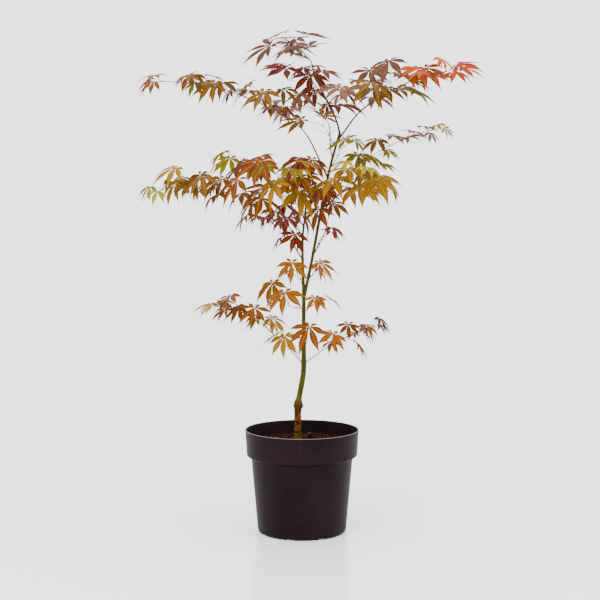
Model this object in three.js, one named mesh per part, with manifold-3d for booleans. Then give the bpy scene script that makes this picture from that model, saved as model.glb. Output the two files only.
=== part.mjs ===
/**
 * A young Japanese maple in its nursery pot: thin stem, forked leader, wide level boughs and hanging leaves.
 *
 * Millimetres, +Z up. The origin is the middle of the pot's flat underside. Azimuths are in degrees from +X
 * towards +Y, and pitches in degrees above level.
 */
import * as THREE from "three";
import { mergeVertices } from "three/addons/utils/BufferGeometryUtils.js";
import Module from "manifold-3d";

const wasm = await Module();
wasm.setup();

const GAP = 0.3; // clear space between pieces that meet
const SAME_CORNER = 1e-4; // corners nearer than this are one
const UP = new THREE.Vector3(0, 0, 1);

// Pot: a round nursery pot with a deep hollow collar.
const POT_HEIGHT = 176.5;
const RIM_RADIUS = 97.5;
const COLLAR_FOOT = { radius: 95, z: 132.5 };
const BODY_TOP = { radius: 87.2, z: 129 };
const BASE_RADIUS = 76.5;
const BASE_CORNER = 6;
const CORNER_STEPS = 2;
const LIP_ROUND = 0.7;
const WALL = 1.6;
const FLOOR = 2.2;
const POT_SIDES = 28;
const NOTCH = { count: 8, width: 14, height: 4.5, depth: 16, radius: 74, turn: 28 };

// Soil: fills the pot to below the rim, with the stump of a cane beside the stem.
const SOIL_TOP = 151;
const STUMP = { x: 13.5, y: -6, foot: 4.6, top: 4.2, height: 20, sides: 8 };

// Trunk: bare wood up to the graft, then a green stem that leans back over the pot's middle.
const TRUNK_FOOT = SOIL_TOP + GAP;
const TRUNK_TOP = 560;
const TRUNK_FOOT_X = -7.4;
const LEANS_X = [[206, 286, 10.4], [400, 470, -2], [500, 560, 5.4]]; // from and to a height, and the shift
const LEANS_Y = [[413, 560, 8]];
const WOOD_RADIUS = 6;
const FLARE = { extra: 1.7, fade: 8 };
const STEM_RADIUS = 4.8;
const STEM_THINS = [[236, 400, -1.6], [400, 430, -0.6], [430, 560, -0.9]];
const BARK_ENDS = [220, 234]; // heights between which bare wood gives way to the green stem
const GRAFT = { z: 218, width: 6.5, swell: 2 };
const LOW_NODE = { z: 291, width: 4, swell: 0.6 };
const TRUNK_SIDES = 9;
const TRUNK_RINGS = 24;

const LIMB_SIDES = 5;
const LEADER_SIDES = 7;
const RING_STEP = 24; // length of limb between rings, about
const LEAST_RINGS = 3;
const BEND_PULL = 0.36; // how far a limb's end headings pull its curve, of its length

// Twigs and leaves.
const STEM_SIDES = 3;
const STEM_RING_STEP = 34;
const LEAST_STEM_RINGS = 2;
const STEM_ROOT = 0.9;
const STEM_TIP = 0.5;
const STEM_STEP_IN = 0.05;
const TWIG_SIDES = 3;
const TWIG_RINGS = 1;
const TWIG_RADII = [0.6, 0.45];
const STALK_RADIUS = 0.6;
const STALK_LENGTH = 0.62; // of the leaf's size
const TWIG_LEAF_PLACE = 0.98;
const TWIG_LEAF_SCALE = 0.92;
const FIRST_PAIR = 0.04; // places of the first and the last pair on a stem
const LAST_PAIR = 0.985;
const SHRINK = 0.3; // how much smaller leaves are at the tip of a long stem
const LEAF_THICK = 0.02; // of the leaf's size
const LOBES = [[-74, 0.7], [-36, 0.94], [0, 1], [36, 0.94], [74, 0.7]]; // azimuth in the blade, length
const LOBE_HALF_WIDTH = 0.1;
const LOBE_WIDEST = 0.44;
const VALLEY_RADIUS = 0.13;
const BACK_RADIUS = 0.03;
const BACK_AZIMUTH = 150;
const LOBE_RISE = 0.14; // radians by which a lobe rises before it droops

// What is drawn for each leaf and twig: ratios, parts of a direction, and turns in degrees.
const SIZE_RANGE = [0.8, 1.2];
const STALK_RANGE = [0.7, 1.3];
const AHEAD_RANGE = [0.2, 0.8];
const LAST_AHEAD = 0.5;
const LEVEL_OUT = [0.6, 1.1];
const LEVEL_UP = [0, 0.6];
const UPRIGHT_OUT = [0.2, 0.6];
const RAISED_UP = [0.4, 0.9];
const LOWERED_UP = [-0.3, 0.3];
const HANG_CHANGE = [-18, 22];
const BEND_CHANGE = [-14, 20];
const ROLL_RANGE = [-22, 22];
const TURN_RANGE = [-35, 35];
const TWIG_AHEAD = 0.8;
const TWIG_OUT = [0.6, 1];
const TWIG_UP = [-0.2, 0.3];
const TWIG_REACH = [0.8, 1.3];

// Clear space kept when a leaf is set: to limbs, from its stalk to limbs, to other masses, and in its own.
const LIMB_CLEAR = 7.5;
const STALK_CLEAR = 4.5;
const MASS_CLEAR = 8;
const BLADE_CLEAR = 5.5;
const TWIG_CLEAR = 3;
const TRIES = 6; // draws before a leaf is skipped
const TRUNK_PROBES = 100;
const LIMB_PROBES = 40;
const STEM_PROBES = 20;
const TWIG_PROBES = 5;
const LOBE_PROBES = [0.2, 0.4, 0.6, 0.8, 1];
const STALK_PROBES = [0.4, 0.7, 1];

const POT_COLOUR = 0x2f2528;
const SOIL_COLOUR = 0x4a2a20;
const STEM_COLOUR = 0x5f6420;
const ROUGHNESS = { pot: 0.55, soil: 0.95, stem: 0.6, leaves: 0.6 };

const trunkPlace = (z) => (z - TRUNK_FOOT) / (TRUNK_TOP - TRUNK_FOOT);

// Each limb: its parent and place on it, the heading it leaves by, its end and heading there, and its radii.
const LIMBS = [
  { name: "right_leader", on: "trunk", at: trunkPlace(403), leave: [-12, 76],
    to: [63.4, -6, 680], arrive: [0, 72], radii: [2.8, 2.1] },
  { name: "bough_top", on: "right_leader", at: 1, leave: [125, 76],
    to: [17, 25, 800], arrive: [110, 66], radii: [1.7, 1.15] },
  { name: "bough_upper_right", on: "right_leader", at: 0.965, leave: [-10, 48],
    to: [104, -22, 722], arrive: [-20, 34], radii: [1.6, 1.2] },
  { name: "bough_upper_left", on: "right_leader", at: 0.74, leave: [150, 58],
    to: [-22, 38, 708], arrive: [166, 30], radii: [1.5, 1] },
  { name: "bough_mid_right", on: "right_leader", at: 0.7, leave: [15, 20],
    to: [92, 26, 630], arrive: [30, 26], radii: [1.05, 0.75] },
  { name: "bough_mid_left", on: "trunk", at: trunkPlace(468), leave: [200, 56],
    to: [-62, -20, 548], arrive: [202, 34], radii: [1.35, 0.9] },
  { name: "bough_inner_left", on: "trunk", at: trunkPlace(524), leave: [150, 45],
    to: [-40, 30, 584], arrive: [140, 46], radii: [0.95, 0.75] },
  { name: "bough_small_right", on: "right_leader", at: 0.25, leave: [-40, 50],
    to: [43, -22, 532], arrive: [-20, 76], radii: [1, 0.7] },
  { name: "bough_front_left", on: "trunk", at: trunkPlace(506), leave: [-130, 46],
    to: [-20, -52, 566], arrive: [-110, 40], radii: [1.1, 0.8] },
  { name: "bough_front_right", on: "right_leader", at: 0.5, leave: [-70, 30],
    to: [64, -62, 580], arrive: [-50, 30], radii: [1.1, 0.8] },
  { name: "bough_back_right", on: "right_leader", at: 0.45, leave: [70, 30],
    to: [60, 74, 576], arrive: [55, 26], radii: [1.1, 0.8] },
  { name: "bough_back_left", on: "trunk", at: trunkPlace(482), leave: [120, 34],
    to: [-20, 60, 520], arrive: [118, 20], radii: [1.1, 0.8] },
  { name: "bough_back_upper", on: "right_leader", at: 0.86, leave: [105, 35],
    to: [44, 72, 706], arrive: [105, 24], radii: [1.2, 0.8] },
  { name: "bough_low_left", on: "trunk", at: trunkPlace(290), leave: [195, 40],
    to: [-33, -9, 327], arrive: [198, 42], radii: [0.95, 0.7] },
  { name: "bough_low_right", on: "trunk", at: trunkPlace(290), leave: [-5, 32],
    to: [44, 4, 318], arrive: [8, 32], radii: [0.95, 0.7] },
];

// Each mass: its limb, its stem's end and heading there, then how its leaves grow. `pairs` counts the pairs
// of leaves on the stem and `side` the pairs of side twigs, `reach` long. `leaf` is the blade's size, `hang`
// how far it tips down and `bend` how far its lobes droop, in degrees. `stalk` is a stalk's length over its
// blade's, and `first` the place of the first pair. A mass on the side of a limb has its place `at` and its
// heading `leave`.
const MASSES = [
  { name: "front_left", limb: "bough_front_left", to: [-30, -132, 614], arrive: [-115, 8],
    pairs: 3, side: 1, reach: 34, leaf: 64, hang: 30, bend: 50, seed: 21, colour: 0xa05a14 },
  { name: "front_right", limb: "bough_front_right", to: [96, -122, 614], arrive: [-35, 8],
    pairs: 3, side: 1, reach: 34, leaf: 62, hang: 30, bend: 48, seed: 4, colour: 0x965f14 },
  { name: "mid_left", limb: "bough_mid_left", to: [-233, -52, 585], arrive: [199, -17],
    pairs: 5, side: 1, reach: 40, leaf: 59, hang: 38, bend: 55, seed: 97, colour: 0xaa6e1e },
  { name: "inner_left", limb: "bough_inner_left", to: [-106, 54, 634], arrive: [165, 16],
    pairs: 3, side: 1, reach: 34, leaf: 58, hang: 24, bend: 45, seed: 110, colour: 0xa0501e },
  { name: "top", limb: "bough_top", to: [-7, 26, 823], arrive: [122, 52],
    pairs: 2, side: 1, reach: 48, first: 0.3, leaf: 61, hang: 17, bend: 26, seed: 49, colour: 0x784632 },
  { name: "upper_left", limb: "bough_upper_left", to: [-245, 80, 775], arrive: [169, -1],
    pairs: 5, side: 1, reach: 34, leaf: 59, hang: 21, bend: 42, seed: 131, colour: 0x965028 },
  { name: "upper_right", limb: "bough_upper_right", to: [234, -67, 777], arrive: [-21, 9],
    pairs: 4, side: 1, reach: 36, leaf: 66, hang: 13, bend: 38, seed: 165, colour: 0xaa5046 },
  { name: "mid_right", limb: "bough_mid_right", to: [230, 82, 692], arrive: [18, 14],
    pairs: 4, leaf: 52, hang: 22, bend: 35, seed: 130, colour: 0xa06450 },
  { name: "low_left", limb: "bough_low_left", to: [-141, -42, 391], arrive: [194, 4],
    pairs: 5, leaf: 51, hang: 35, bend: 29, seed: 35, colour: 0xbe781e },
  { name: "low_right", limb: "bough_low_right", to: [120, 14, 350], arrive: [5, 16],
    pairs: 4, leaf: 46, hang: 34, bend: 36, seed: 125, colour: 0xb46428 },
  { name: "heart", limb: "trunk", to: [13, 8, 602], arrive: [-56, 67],
    pairs: 2, first: 0.3, leaf: 52, hang: 39, bend: 50, seed: 22, colour: 0x821e1e },
  { name: "small_right", limb: "bough_small_right", to: [52, -26, 566], arrive: [-24, 61],
    pairs: 2, first: 0.3, leaf: 45, hang: 32, bend: 42, seed: 49, colour: 0x96321e },
  { name: "back_right", limb: "bough_back_right", to: [121, 149, 601], arrive: [62, 14],
    pairs: 2, side: 1, reach: 34, first: 0.35, leaf: 58, hang: 34, bend: 49, seed: 55, colour: 0x823c28 },
  { name: "back_left", limb: "bough_back_left", to: [-54, 149, 549], arrive: [108, 20],
    pairs: 2, side: 1, reach: 34, first: 0.35, leaf: 59, hang: 27, bend: 53, seed: 71, colour: 0x823228 },
  { name: "back_upper", limb: "bough_back_upper", to: [-11, 155, 738], arrive: [139, -5],
    pairs: 2, side: 1, reach: 34, first: 0.35, leaf: 60, hang: 15, bend: 48, seed: 103, colour: 0x8c503c },
  { name: "collar_left", limb: "trunk", at: trunkPlace(486), leave: [215, 30],
    to: [-14, -12, 498], arrive: [221, 25],
    pairs: 1, stalk: 0.7, leaf: 41, hang: 35, bend: 39, seed: 9, colour: 0x821e28 },
  { name: "collar_right", limb: "right_leader", at: 0.27, leave: [-5, 30],
    to: [36, -10, 506], arrive: [-5, 22],
    pairs: 1, stalk: 0.7, leaf: 43, hang: 30, bend: 40, seed: 106, colour: 0x82281e },
  { name: "ring_left", limb: "trunk", at: trunkPlace(424), leave: [190, 35],
    to: [-6, -9, 441], arrive: [191, 36],
    pairs: 1, stalk: 0.7, leaf: 42, hang: 39, bend: 37, seed: 120, colour: 0x96501e },
  { name: "ring_right", limb: "right_leader", at: 0.1, leave: [-20, 35],
    to: [17, -10, 442], arrive: [-10, 29],
    pairs: 1, stalk: 0.7, leaf: 41, hang: 44, bend: 35, seed: 48, colour: 0x965028 },
  { name: "band_left", limb: "trunk", at: trunkPlace(382), leave: [190, 35],
    to: [-22, -11, 391], arrive: [195, 39],
    pairs: 1, stalk: 0.7, leaf: 53, hang: 41, bend: 40, seed: 17, colour: 0xaa5a1e },
  { name: "band_right", limb: "trunk", at: trunkPlace(378), leave: [-20, 35],
    to: [22, -12, 394], arrive: [-20, 25],
    pairs: 1, stalk: 0.7, leaf: 44, hang: 40, bend: 36, seed: 13, colour: 0xaa501e },
  { name: "crown_left", limb: "bough_top", at: 0.5, leave: [176, 34],
    to: [0, 3, 778], arrive: [173, 6],
    pairs: 2, first: 0.4, leaf: 56, hang: 23, bend: 18, seed: 27, colour: 0x783232 },
  { name: "crown_right", limb: "bough_top", at: 0.35, leave: [5, 38],
    to: [93, 11, 763], arrive: [12, 22],
    pairs: 2, first: 0.4, leaf: 53, hang: 9, bend: 28, seed: 123, colour: 0x96645a },
  { name: "crown_fork", limb: "right_leader", at: 0.93, leave: [-150, 34],
    to: [35, -37, 691], arrive: [-134, 20],
    pairs: 1, leaf: 57, hang: -2, bend: 27, seed: 148, colour: 0x8c5028 },
  { name: "leader_right", limb: "right_leader", at: 0.8, leave: [-35, 34],
    to: [70, -37, 657], arrive: [-52, 18],
    pairs: 1, leaf: 45, hang: 28, bend: 19, seed: 8, colour: 0x8c9614 },
  { name: "node_right", limb: "trunk", at: trunkPlace(320), leave: [-20, 35],
    to: [14, -33, 345], arrive: [-35, 19],
    pairs: 1, stalk: 0.7, leaf: 50, hang: 45, bend: 28, seed: 34, colour: 0x96501e },
];

/** A smooth step from 0 to 1 between two heights. */
const ease = (low, high, x) => THREE.MathUtils.smoothstep(x, low, high);

/** The sum of a list of smooth shifts, each between two heights. */
function shifted(shifts, x) {
  return shifts.reduce((sum, [low, high, amount]) => sum + amount * ease(low, high, x), 0);
}

/** A rounded swelling about a height. */
const swelling = ({ z, width, swell }, x) => swell * Math.exp(-(((x - z) / width) ** 2));

/** The unit vector with an azimuth and a pitch. */
function heading([azimuth, pitch]) {
  const turn = THREE.MathUtils.degToRad(azimuth);
  const rise = THREE.MathUtils.degToRad(pitch);
  const level = Math.cos(rise);
  return new THREE.Vector3(Math.cos(turn) * level, Math.sin(turn) * level, Math.sin(rise));
}

/** The vector turned about an axis. */
function turned(vector, axis, degrees) {
  return vector.clone().applyAxisAngle(axis, THREE.MathUtils.degToRad(degrees));
}

/** The level direction to the left of a line, and the direction above the line square to both. */
function sidesOf(along) {
  const left = new THREE.Vector3(-along.y, along.x, 0).normalize();
  return { left, above: along.clone().cross(left) };
}

/** A repeatable source of numbers between two bounds. */
function seeded(seed) {
  let state = Math.imul(seed, 2654435761) >>> 0;
  const draw = (low = 0, high = 1) => {
    state = (Math.imul(state, 1664525) + 1013904223) >>> 0;
    return low + ((high - low) * state) / 4294967296;
  };
  draw();
  return draw;
}

/** The trunk's centre line: upright wood, a lean across the graft, and the left stem of the fork. */
class TrunkLine extends THREE.Curve {
  getPoint(t) {
    const z = TRUNK_FOOT + (TRUNK_TOP - TRUNK_FOOT) * t;
    return new THREE.Vector3(TRUNK_FOOT_X + shifted(LEANS_X, z), shifted(LEANS_Y, z), z);
  }
}

/** The trunk's radius: flared wood up to the graft's knot, then a stem that thins at each node. */
function trunkRadius(t) {
  const z = TRUNK_FOOT + (TRUNK_TOP - TRUNK_FOOT) * t;
  const wood = WOOD_RADIUS + FLARE.extra * Math.exp(-(z - TRUNK_FOOT) / FLARE.fade);
  const stem = STEM_RADIUS + shifted(STEM_THINS, z);
  const green = ease(...BARK_ENDS, z);
  return wood * (1 - green) + stem * green + swelling(GRAFT, z) + swelling(LOW_NODE, z);
}

/** A curve from one point to another that leaves and arrives along given headings. */
function bentLine(start, leave, end, arrive) {
  const pull = BEND_PULL * start.distanceTo(end);
  const leaving = start.clone().addScaledVector(leave, pull);
  const arriving = end.clone().addScaledVector(arrive, -pull);
  return new THREE.CubicBezierCurve3(start, leaving, arriving, end);
}

/** A closed three.js geometry as a solid: corners shared, and the empty faces at a pole left out. */
function solid(geometry) {
  geometry.deleteAttribute("normal");
  geometry.deleteAttribute("uv");
  const merged = mergeVertices(geometry, SAME_CORNER);
  const corners = merged.index.array;
  const faces = [];
  for (let i = 0; i < corners.length; i += 3) {
    const [a, b, c] = corners.subarray(i, i + 3);
    if (a !== b && b !== c && c !== a) faces.push(a, b, c);
  }
  const vertProperties = new Float32Array(merged.attributes.position.array);
  return new wasm.Manifold(new wasm.Mesh({ numProp: 3, vertProperties, triVerts: new Uint32Array(faces) }));
}

/** A closed tube along a line, with its radius given for each place on the line. */
function tube(line, radiusAt, sides, rings, margin = 0) {
  const geometry = new THREE.CylinderGeometry(1, 1, 1, sides, rings);
  const position = geometry.attributes.position;
  const span = line.getPoint(1).sub(line.getPoint(0));
  const sideways = new THREE.Vector3(-span.y, span.x, 0);
  for (let i = 0; i < position.count; i += 1) {
    const place = position.getY(i) + 0.5;
    const along = line.getTangent(place);
    const left = sideways.clone().projectOnPlane(along).normalize();
    const above = along.clone().cross(left);
    const radius = radiusAt(place) + margin;
    const point = line.getPoint(place);
    point.addScaledVector(left, radius * position.getX(i));
    point.addScaledVector(above, -radius * position.getZ(i));
    point.addScaledVector(along, 2 * margin * (place - 0.5));
    position.setXYZ(i, point.x, point.y, point.z);
  }
  return solid(geometry);
}

/** The radius rule of a straight taper. */
const taper = ([root, tip]) => (t) => root + (tip - root) * t;

/** A ring-shaped or filled solid of revolution about Z, from its profile of radii and heights. */
function turnedSolid(profile) {
  const points = profile.map(([radius, z]) => new THREE.Vector2(radius, z));
  return solid(new THREE.LatheGeometry(points, POT_SIDES).rotateX(Math.PI / 2));
}

/** The pot's inner wall from the floor up, moved inward by a gap. */
function innerWall(gap) {
  const inset = WALL + gap;
  return [
    [BASE_RADIUS - BASE_CORNER + FLOOR - gap, FLOOR + gap],
    [BASE_RADIUS - inset, BASE_CORNER + gap],
    [BODY_TOP.radius - inset, BODY_TOP.z],
    [COLLAR_FOOT.radius - inset, COLLAR_FOOT.z + WALL],
  ];
}

/** The pot: a hollow body with a collar, and drain notches through the corner of its base. */
function potSolid() {
  const profile = [[0, 0]];
  for (let step = 0; step <= CORNER_STEPS; step += 1) {
    const angle = (step / CORNER_STEPS) * (Math.PI / 2);
    const radius = BASE_RADIUS - BASE_CORNER * (1 - Math.sin(angle));
    profile.push([radius, BASE_CORNER * (1 - Math.cos(angle))]);
  }
  profile.push([BODY_TOP.radius, BODY_TOP.z]);
  profile.push([COLLAR_FOOT.radius - LIP_ROUND, COLLAR_FOOT.z - LIP_ROUND]);
  profile.push([COLLAR_FOOT.radius, COLLAR_FOOT.z + LIP_ROUND]);
  profile.push([RIM_RADIUS, POT_HEIGHT - LIP_ROUND]);
  profile.push([RIM_RADIUS - LIP_ROUND, POT_HEIGHT]);
  profile.push([RIM_RADIUS - WALL, POT_HEIGHT - LIP_ROUND / 2]);
  profile.push(...innerWall(0).reverse(), [0, FLOOR]);
  let body = turnedSolid(profile);
  for (let i = 0; i < NOTCH.count; i += 1) {
    const box = new THREE.BoxGeometry(NOTCH.depth, NOTCH.width, 2 * NOTCH.height);
    box.translate(NOTCH.radius, 0, 0);
    box.rotateZ((i / NOTCH.count) * 2 * Math.PI + THREE.MathUtils.degToRad(NOTCH.turn));
    body = body.subtract(solid(box));
  }
  return body;
}

/** The soil: it fills the pot's hollow up to its level top, and carries the cut end of a cane. */
function soilSolid() {
  const wall = innerWall(GAP);
  const edge = RIM_RADIUS - WALL - GAP;
  const foot = wall[wall.length - 1];
  const top = foot[0] + ((edge - foot[0]) * (SOIL_TOP - foot[1])) / (POT_HEIGHT - foot[1]);
  const body = turnedSolid([[0, FLOOR + GAP], ...wall, [top, SOIL_TOP], [0, SOIL_TOP]]);
  const cane = new THREE.CylinderGeometry(STUMP.top, STUMP.foot, 2 * STUMP.height, STUMP.sides);
  cane.rotateX(Math.PI / 2).translate(STUMP.x, STUMP.y, SOIL_TOP);
  return body.add(solid(cane));
}

/** The lines, radii and solids of the trunk and its boughs, each cut clear of its parent and its siblings. */
function growLimbs() {
  const trunk = { name: "trunk", line: new TrunkLine(), tip: trunkRadius(1) };
  trunk.body = tube(trunk.line, trunkRadius, TRUNK_SIDES, TRUNK_RINGS);
  trunk.clearance = tube(trunk.line, trunkRadius, TRUNK_SIDES, TRUNK_RINGS, GAP);
  const limbs = [trunk];
  for (const { name, on, at, leave, to, arrive, radii } of LIMBS) {
    const parent = limbs.find((limb) => limb.name === on);
    const end = new THREE.Vector3(...to);
    const line = bentLine(parent.line.getPoint(at), heading(leave), end, heading(arrive));
    const sides = name.endsWith("leader") ? LEADER_SIDES : LIMB_SIDES;
    const rings = Math.max(LEAST_RINGS, Math.round(line.getLength() / RING_STEP));
    let body = tube(line, taper(radii), sides, rings);
    for (const limb of limbs) {
      if (limb === parent || limb.on === on) body = body.subtract(limb.clearance);
    }
    const clearance = tube(line, taper(radii), sides, rings, GAP);
    limbs.push({ name, on, line, tip: radii[1], body, clearance });
  }
  return limbs;
}

/** A point of a blade: out along a lobe's drooping arc, across it, and lifted off it. */
function bladePoint(leaf, azimuth, length, place, across = 0, lift = 0) {
  const bend = THREE.MathUtils.degToRad(leaf.bend);
  const scale = (leaf.size * length) / bend;
  const reach = scale * (Math.sin(LOBE_RISE) - Math.sin(LOBE_RISE - bend * place));
  const height = scale * (Math.cos(LOBE_RISE - bend * place) - Math.cos(LOBE_RISE));
  const turn = THREE.MathUtils.degToRad(azimuth);
  const outX = reach * Math.cos(turn) - across * Math.sin(turn);
  const outY = reach * Math.sin(turn) + across * Math.cos(turn);
  const point = leaf.hub.clone().addScaledVector(leaf.forward, outX).addScaledVector(leaf.right, outY);
  return point.addScaledVector(leaf.normal, height + lift);
}

/** A leaf held out by its stalk: the blade turned, tipped down and rolled about its own middle line. */
function makeLeaf({ foot, direction, stalk, size, hang, bend, roll, turn }) {
  const hub = foot.clone().addScaledVector(direction, stalk);
  const level = turned(new THREE.Vector3(direction.x, direction.y, 0).normalize(), UP, turn);
  const side = level.clone().cross(UP);
  const forward = turned(level, side, -hang);
  const normal = side.clone().cross(forward);
  const right = turned(side, forward, roll);
  return { foot, hub, size, bend, forward, right, normal: turned(normal, forward, roll) };
}

/** Points along a leaf's lobes, and along its stalk. */
function probesOf(leaf) {
  const lobes = LOBES.flatMap(([azimuth, length]) =>
    LOBE_PROBES.map((place) => bladePoint(leaf, azimuth, length, place)));
  const stalk = STALK_PROBES.map((place) => leaf.foot.clone().lerp(leaf.hub, place));
  return { lobes, stalk };
}

/** Whether every point is farther than a distance from every other point of a set. */
function isClear(points, others, distance) {
  const least = distance * distance;
  return points.every((point) => others.every((other) => point.distanceToSquared(other) > least));
}

/** The solid of a leaf: drooping lobes with a raised middle line, and the stalk on its underside. */
function leafSolid(leaf) {
  const corners = [];
  const faces = [];
  const corner = (...place) => corners.push(bladePoint(leaf, ...place)) - 1;
  const thick = LEAF_THICK * leaf.size;
  const top = corner(0, 0, 0, 0, 0.5 * thick);
  const under = corner(0, 0, 0, 0, -thick);
  const backLow = corner(-BACK_AZIMUTH, BACK_RADIUS, 1);
  const backHigh = corner(BACK_AZIMUTH, BACK_RADIUS, 1);
  let before = backLow;
  LOBES.forEach(([azimuth, length], i) => {
    const next = LOBES[i + 1];
    const after = next ? corner((azimuth + next[0]) / 2, VALLEY_RADIUS, 1) : backHigh;
    const half = LOBE_HALF_WIDTH * leaf.size * Math.sqrt(length);
    const low = corner(azimuth, length, LOBE_WIDEST, -half);
    const high = corner(azimuth, length, LOBE_WIDEST, half);
    const middle = corner(azimuth, length, LOBE_WIDEST, 0, thick);
    const tip = corner(azimuth, length, 1);
    faces.push(top, low, before, top, middle, low, middle, tip, low);
    faces.push(middle, high, tip, top, high, middle, top, after, high);
    faces.push(under, before, low, under, low, high, low, tip, high, under, high, after);
    before = after;
  });
  faces.push(top, backLow, backHigh);
  const root = [under, backHigh, backLow];
  const centre = new THREE.Vector3();
  root.forEach((i) => centre.addScaledVector(corners[i], 1 / 3));
  const along = leaf.hub.clone().sub(leaf.foot).normalize();
  const foot = root.map((i) => {
    const out = corners[i].clone().sub(centre).projectOnPlane(along).setLength(STALK_RADIUS);
    return corners.push(out.add(leaf.foot)) - 1;
  });
  root.forEach((from, i) => {
    const j = (i + 1) % 3;
    faces.push(from, root[j], foot[j], from, foot[j], foot[i]);
  });
  const geometry = new THREE.BufferGeometry().setFromPoints(corners);
  geometry.setIndex([...faces, ...foot]);
  return solid(geometry);
}

/** Draws a leaf at a place on a stem or twig: held level to one side, or turned up or forward. */
function drawLeaf(rule, draw, { line, place, scale, level, last, hand }) {
  const along = line.getTangent(place);
  const { left, above } = sidesOf(along);
  const size = rule.leaf * scale * draw(...SIZE_RANGE);
  const stalk = size * (rule.stalk ?? STALK_LENGTH) * draw(...STALK_RANGE);
  const ahead = draw(...AHEAD_RANGE) + (last ? LAST_AHEAD : 0);
  const out = hand * draw(...(level ? LEVEL_OUT : UPRIGHT_OUT));
  const up = draw(...(level ? LEVEL_UP : hand > 0 ? RAISED_UP : LOWERED_UP));
  const direction = along.clone().multiplyScalar(ahead).addScaledVector(left, out);
  direction.addScaledVector(above, up).normalize();
  const hang = rule.hang + draw(...HANG_CHANGE);
  const bend = rule.bend + draw(...BEND_CHANGE);
  const roll = draw(...ROLL_RANGE);
  const turn = draw(...TURN_RANGE);
  return makeLeaf({ foot: line.getPoint(place), direction, stalk, size, hang, bend, roll, turn });
}

/** Grows a mass: a stem with opposite pairs of leaves, every other pair turned up, and side twigs. */
function growMass(rule, limbs, limbPoints, taken) {
  const { at = 1, first = FIRST_PAIR, side = 0, reach = 0 } = rule;
  const draw = seeded(rule.seed);
  const limb = limbs.find((one) => one.name === rule.limb);
  const leave = rule.leave ? heading(rule.leave) : limb.line.getTangent(1);
  const stem = bentLine(limb.line.getPoint(at), leave, new THREE.Vector3(...rule.to), heading(rule.arrive));
  const root = rule.leave ? STEM_ROOT : limb.tip - STEM_STEP_IN;
  const wood = stem.getPoints(STEM_PROBES);
  const blades = [];
  const rings = Math.max(LEAST_STEM_RINGS, Math.round(stem.getLength() / STEM_RING_STEP));
  let body = tube(stem, taper([root, STEM_TIP]), STEM_SIDES, rings);

  const hasRoom = ({ lobes, stalk }) =>
    isClear(lobes, limbPoints, LIMB_CLEAR) && isClear(stalk, limbPoints, STALK_CLEAR) &&
    isClear([...lobes, ...stalk], taken, MASS_CLEAR) && isClear(lobes, blades, BLADE_CLEAR) &&
    isClear(lobes, wood, TWIG_CLEAR) && isClear(stalk, blades, TWIG_CLEAR);

  const growPair = (seat) => {
    for (const hand of [-1, 1]) {
      for (let tries = 0; tries < TRIES; tries += 1) {
        const leaf = drawLeaf(rule, draw, { ...seat, hand });
        const probes = probesOf(leaf);
        if (!hasRoom(probes)) continue;
        blades.push(...probes.lobes);
        wood.push(...probes.stalk);
        body = body.add(leafSolid(leaf));
        break;
      }
    }
  };

  const growTwig = (place, hand) => {
    const along = stem.getTangent(place);
    const { left, above } = sidesOf(along);
    const direction = along.clone().multiplyScalar(TWIG_AHEAD);
    direction.addScaledVector(left, hand * draw(...TWIG_OUT));
    direction.addScaledVector(above, draw(...TWIG_UP)).normalize();
    const foot = stem.getPoint(place);
    const end = foot.clone().addScaledVector(direction, reach * draw(...TWIG_REACH));
    const twig = bentLine(foot, direction, end, direction);
    const probes = twig.getPoints(TWIG_PROBES).slice(1);
    if (!isClear(probes.slice(1), limbPoints, STALK_CLEAR) || !isClear(probes, taken, MASS_CLEAR)) return;
    wood.push(...probes);
    body = body.add(tube(twig, taper(TWIG_RADII), TWIG_SIDES, TWIG_RINGS));
    growPair({ line: twig, place: TWIG_LEAF_PLACE, scale: TWIG_LEAF_SCALE, level: true, last: true });
  };

  for (let k = 0; k < rule.pairs; k += 1) {
    const place = rule.pairs > 1 ? first + ((LAST_PAIR - first) * k) / (rule.pairs - 1) : LAST_PAIR;
    const scale = rule.pairs > 2 ? 1 - SHRINK * place : 1;
    growPair({ line: stem, place, scale, level: k % 2 === 0, last: k === rule.pairs - 1 });
    if (k < side) [-1, 1].forEach((hand) => growTwig(place, hand));
  }
  return { body: body.subtract(limb.clearance), probes: [...wood, ...blades] };
}

/** A named mesh of a solid, in its own plain material. */
function meshOf(name, body, colour, roughness) {
  const { vertProperties, triVerts } = body.getMesh();
  const geometry = new THREE.BufferGeometry();
  geometry.setAttribute("position", new THREE.BufferAttribute(vertProperties, 3));
  geometry.setIndex(new THREE.BufferAttribute(triVerts, 1));
  geometry.computeVertexNormals();
  const material = new THREE.MeshStandardMaterial({ color: colour, roughness, metalness: 0 });
  const mesh = new THREE.Mesh(geometry, material);
  mesh.name = name;
  return mesh;
}

/** The whole plant in its pot. */
function plant() {
  const group = new THREE.Group();
  group.name = "potted_japanese_maple";
  group.add(meshOf("pot", potSolid(), POT_COLOUR, ROUGHNESS.pot));
  group.add(meshOf("soil", soilSolid(), SOIL_COLOUR, ROUGHNESS.soil));
  const limbs = growLimbs();
  for (const { name, body } of limbs) group.add(meshOf(name, body, STEM_COLOUR, ROUGHNESS.stem));
  const woods = limbs.flatMap(({ name, line }) => {
    const count = name === "trunk" ? TRUNK_PROBES : LIMB_PROBES;
    return line.getPoints(count);
  });
  const taken = [];
  for (const rule of MASSES) {
    const { body, probes } = growMass(rule, limbs, woods, taken);
    taken.push(...probes);
    group.add(meshOf(`foliage_${rule.name}`, body, rule.colour, ROUGHNESS.leaves));
  }
  return group;
}

export default plant();
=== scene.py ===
"""A young Japanese maple in a nursery pot, fully dressed: bark, twigs, cut leaves, pot and soil.

The growth rule works in millimetres, as the part's source does, and the meshes are in metres. Azimuths are
in degrees from +X towards +Y, and pitches in degrees above level.
"""
import math

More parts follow.
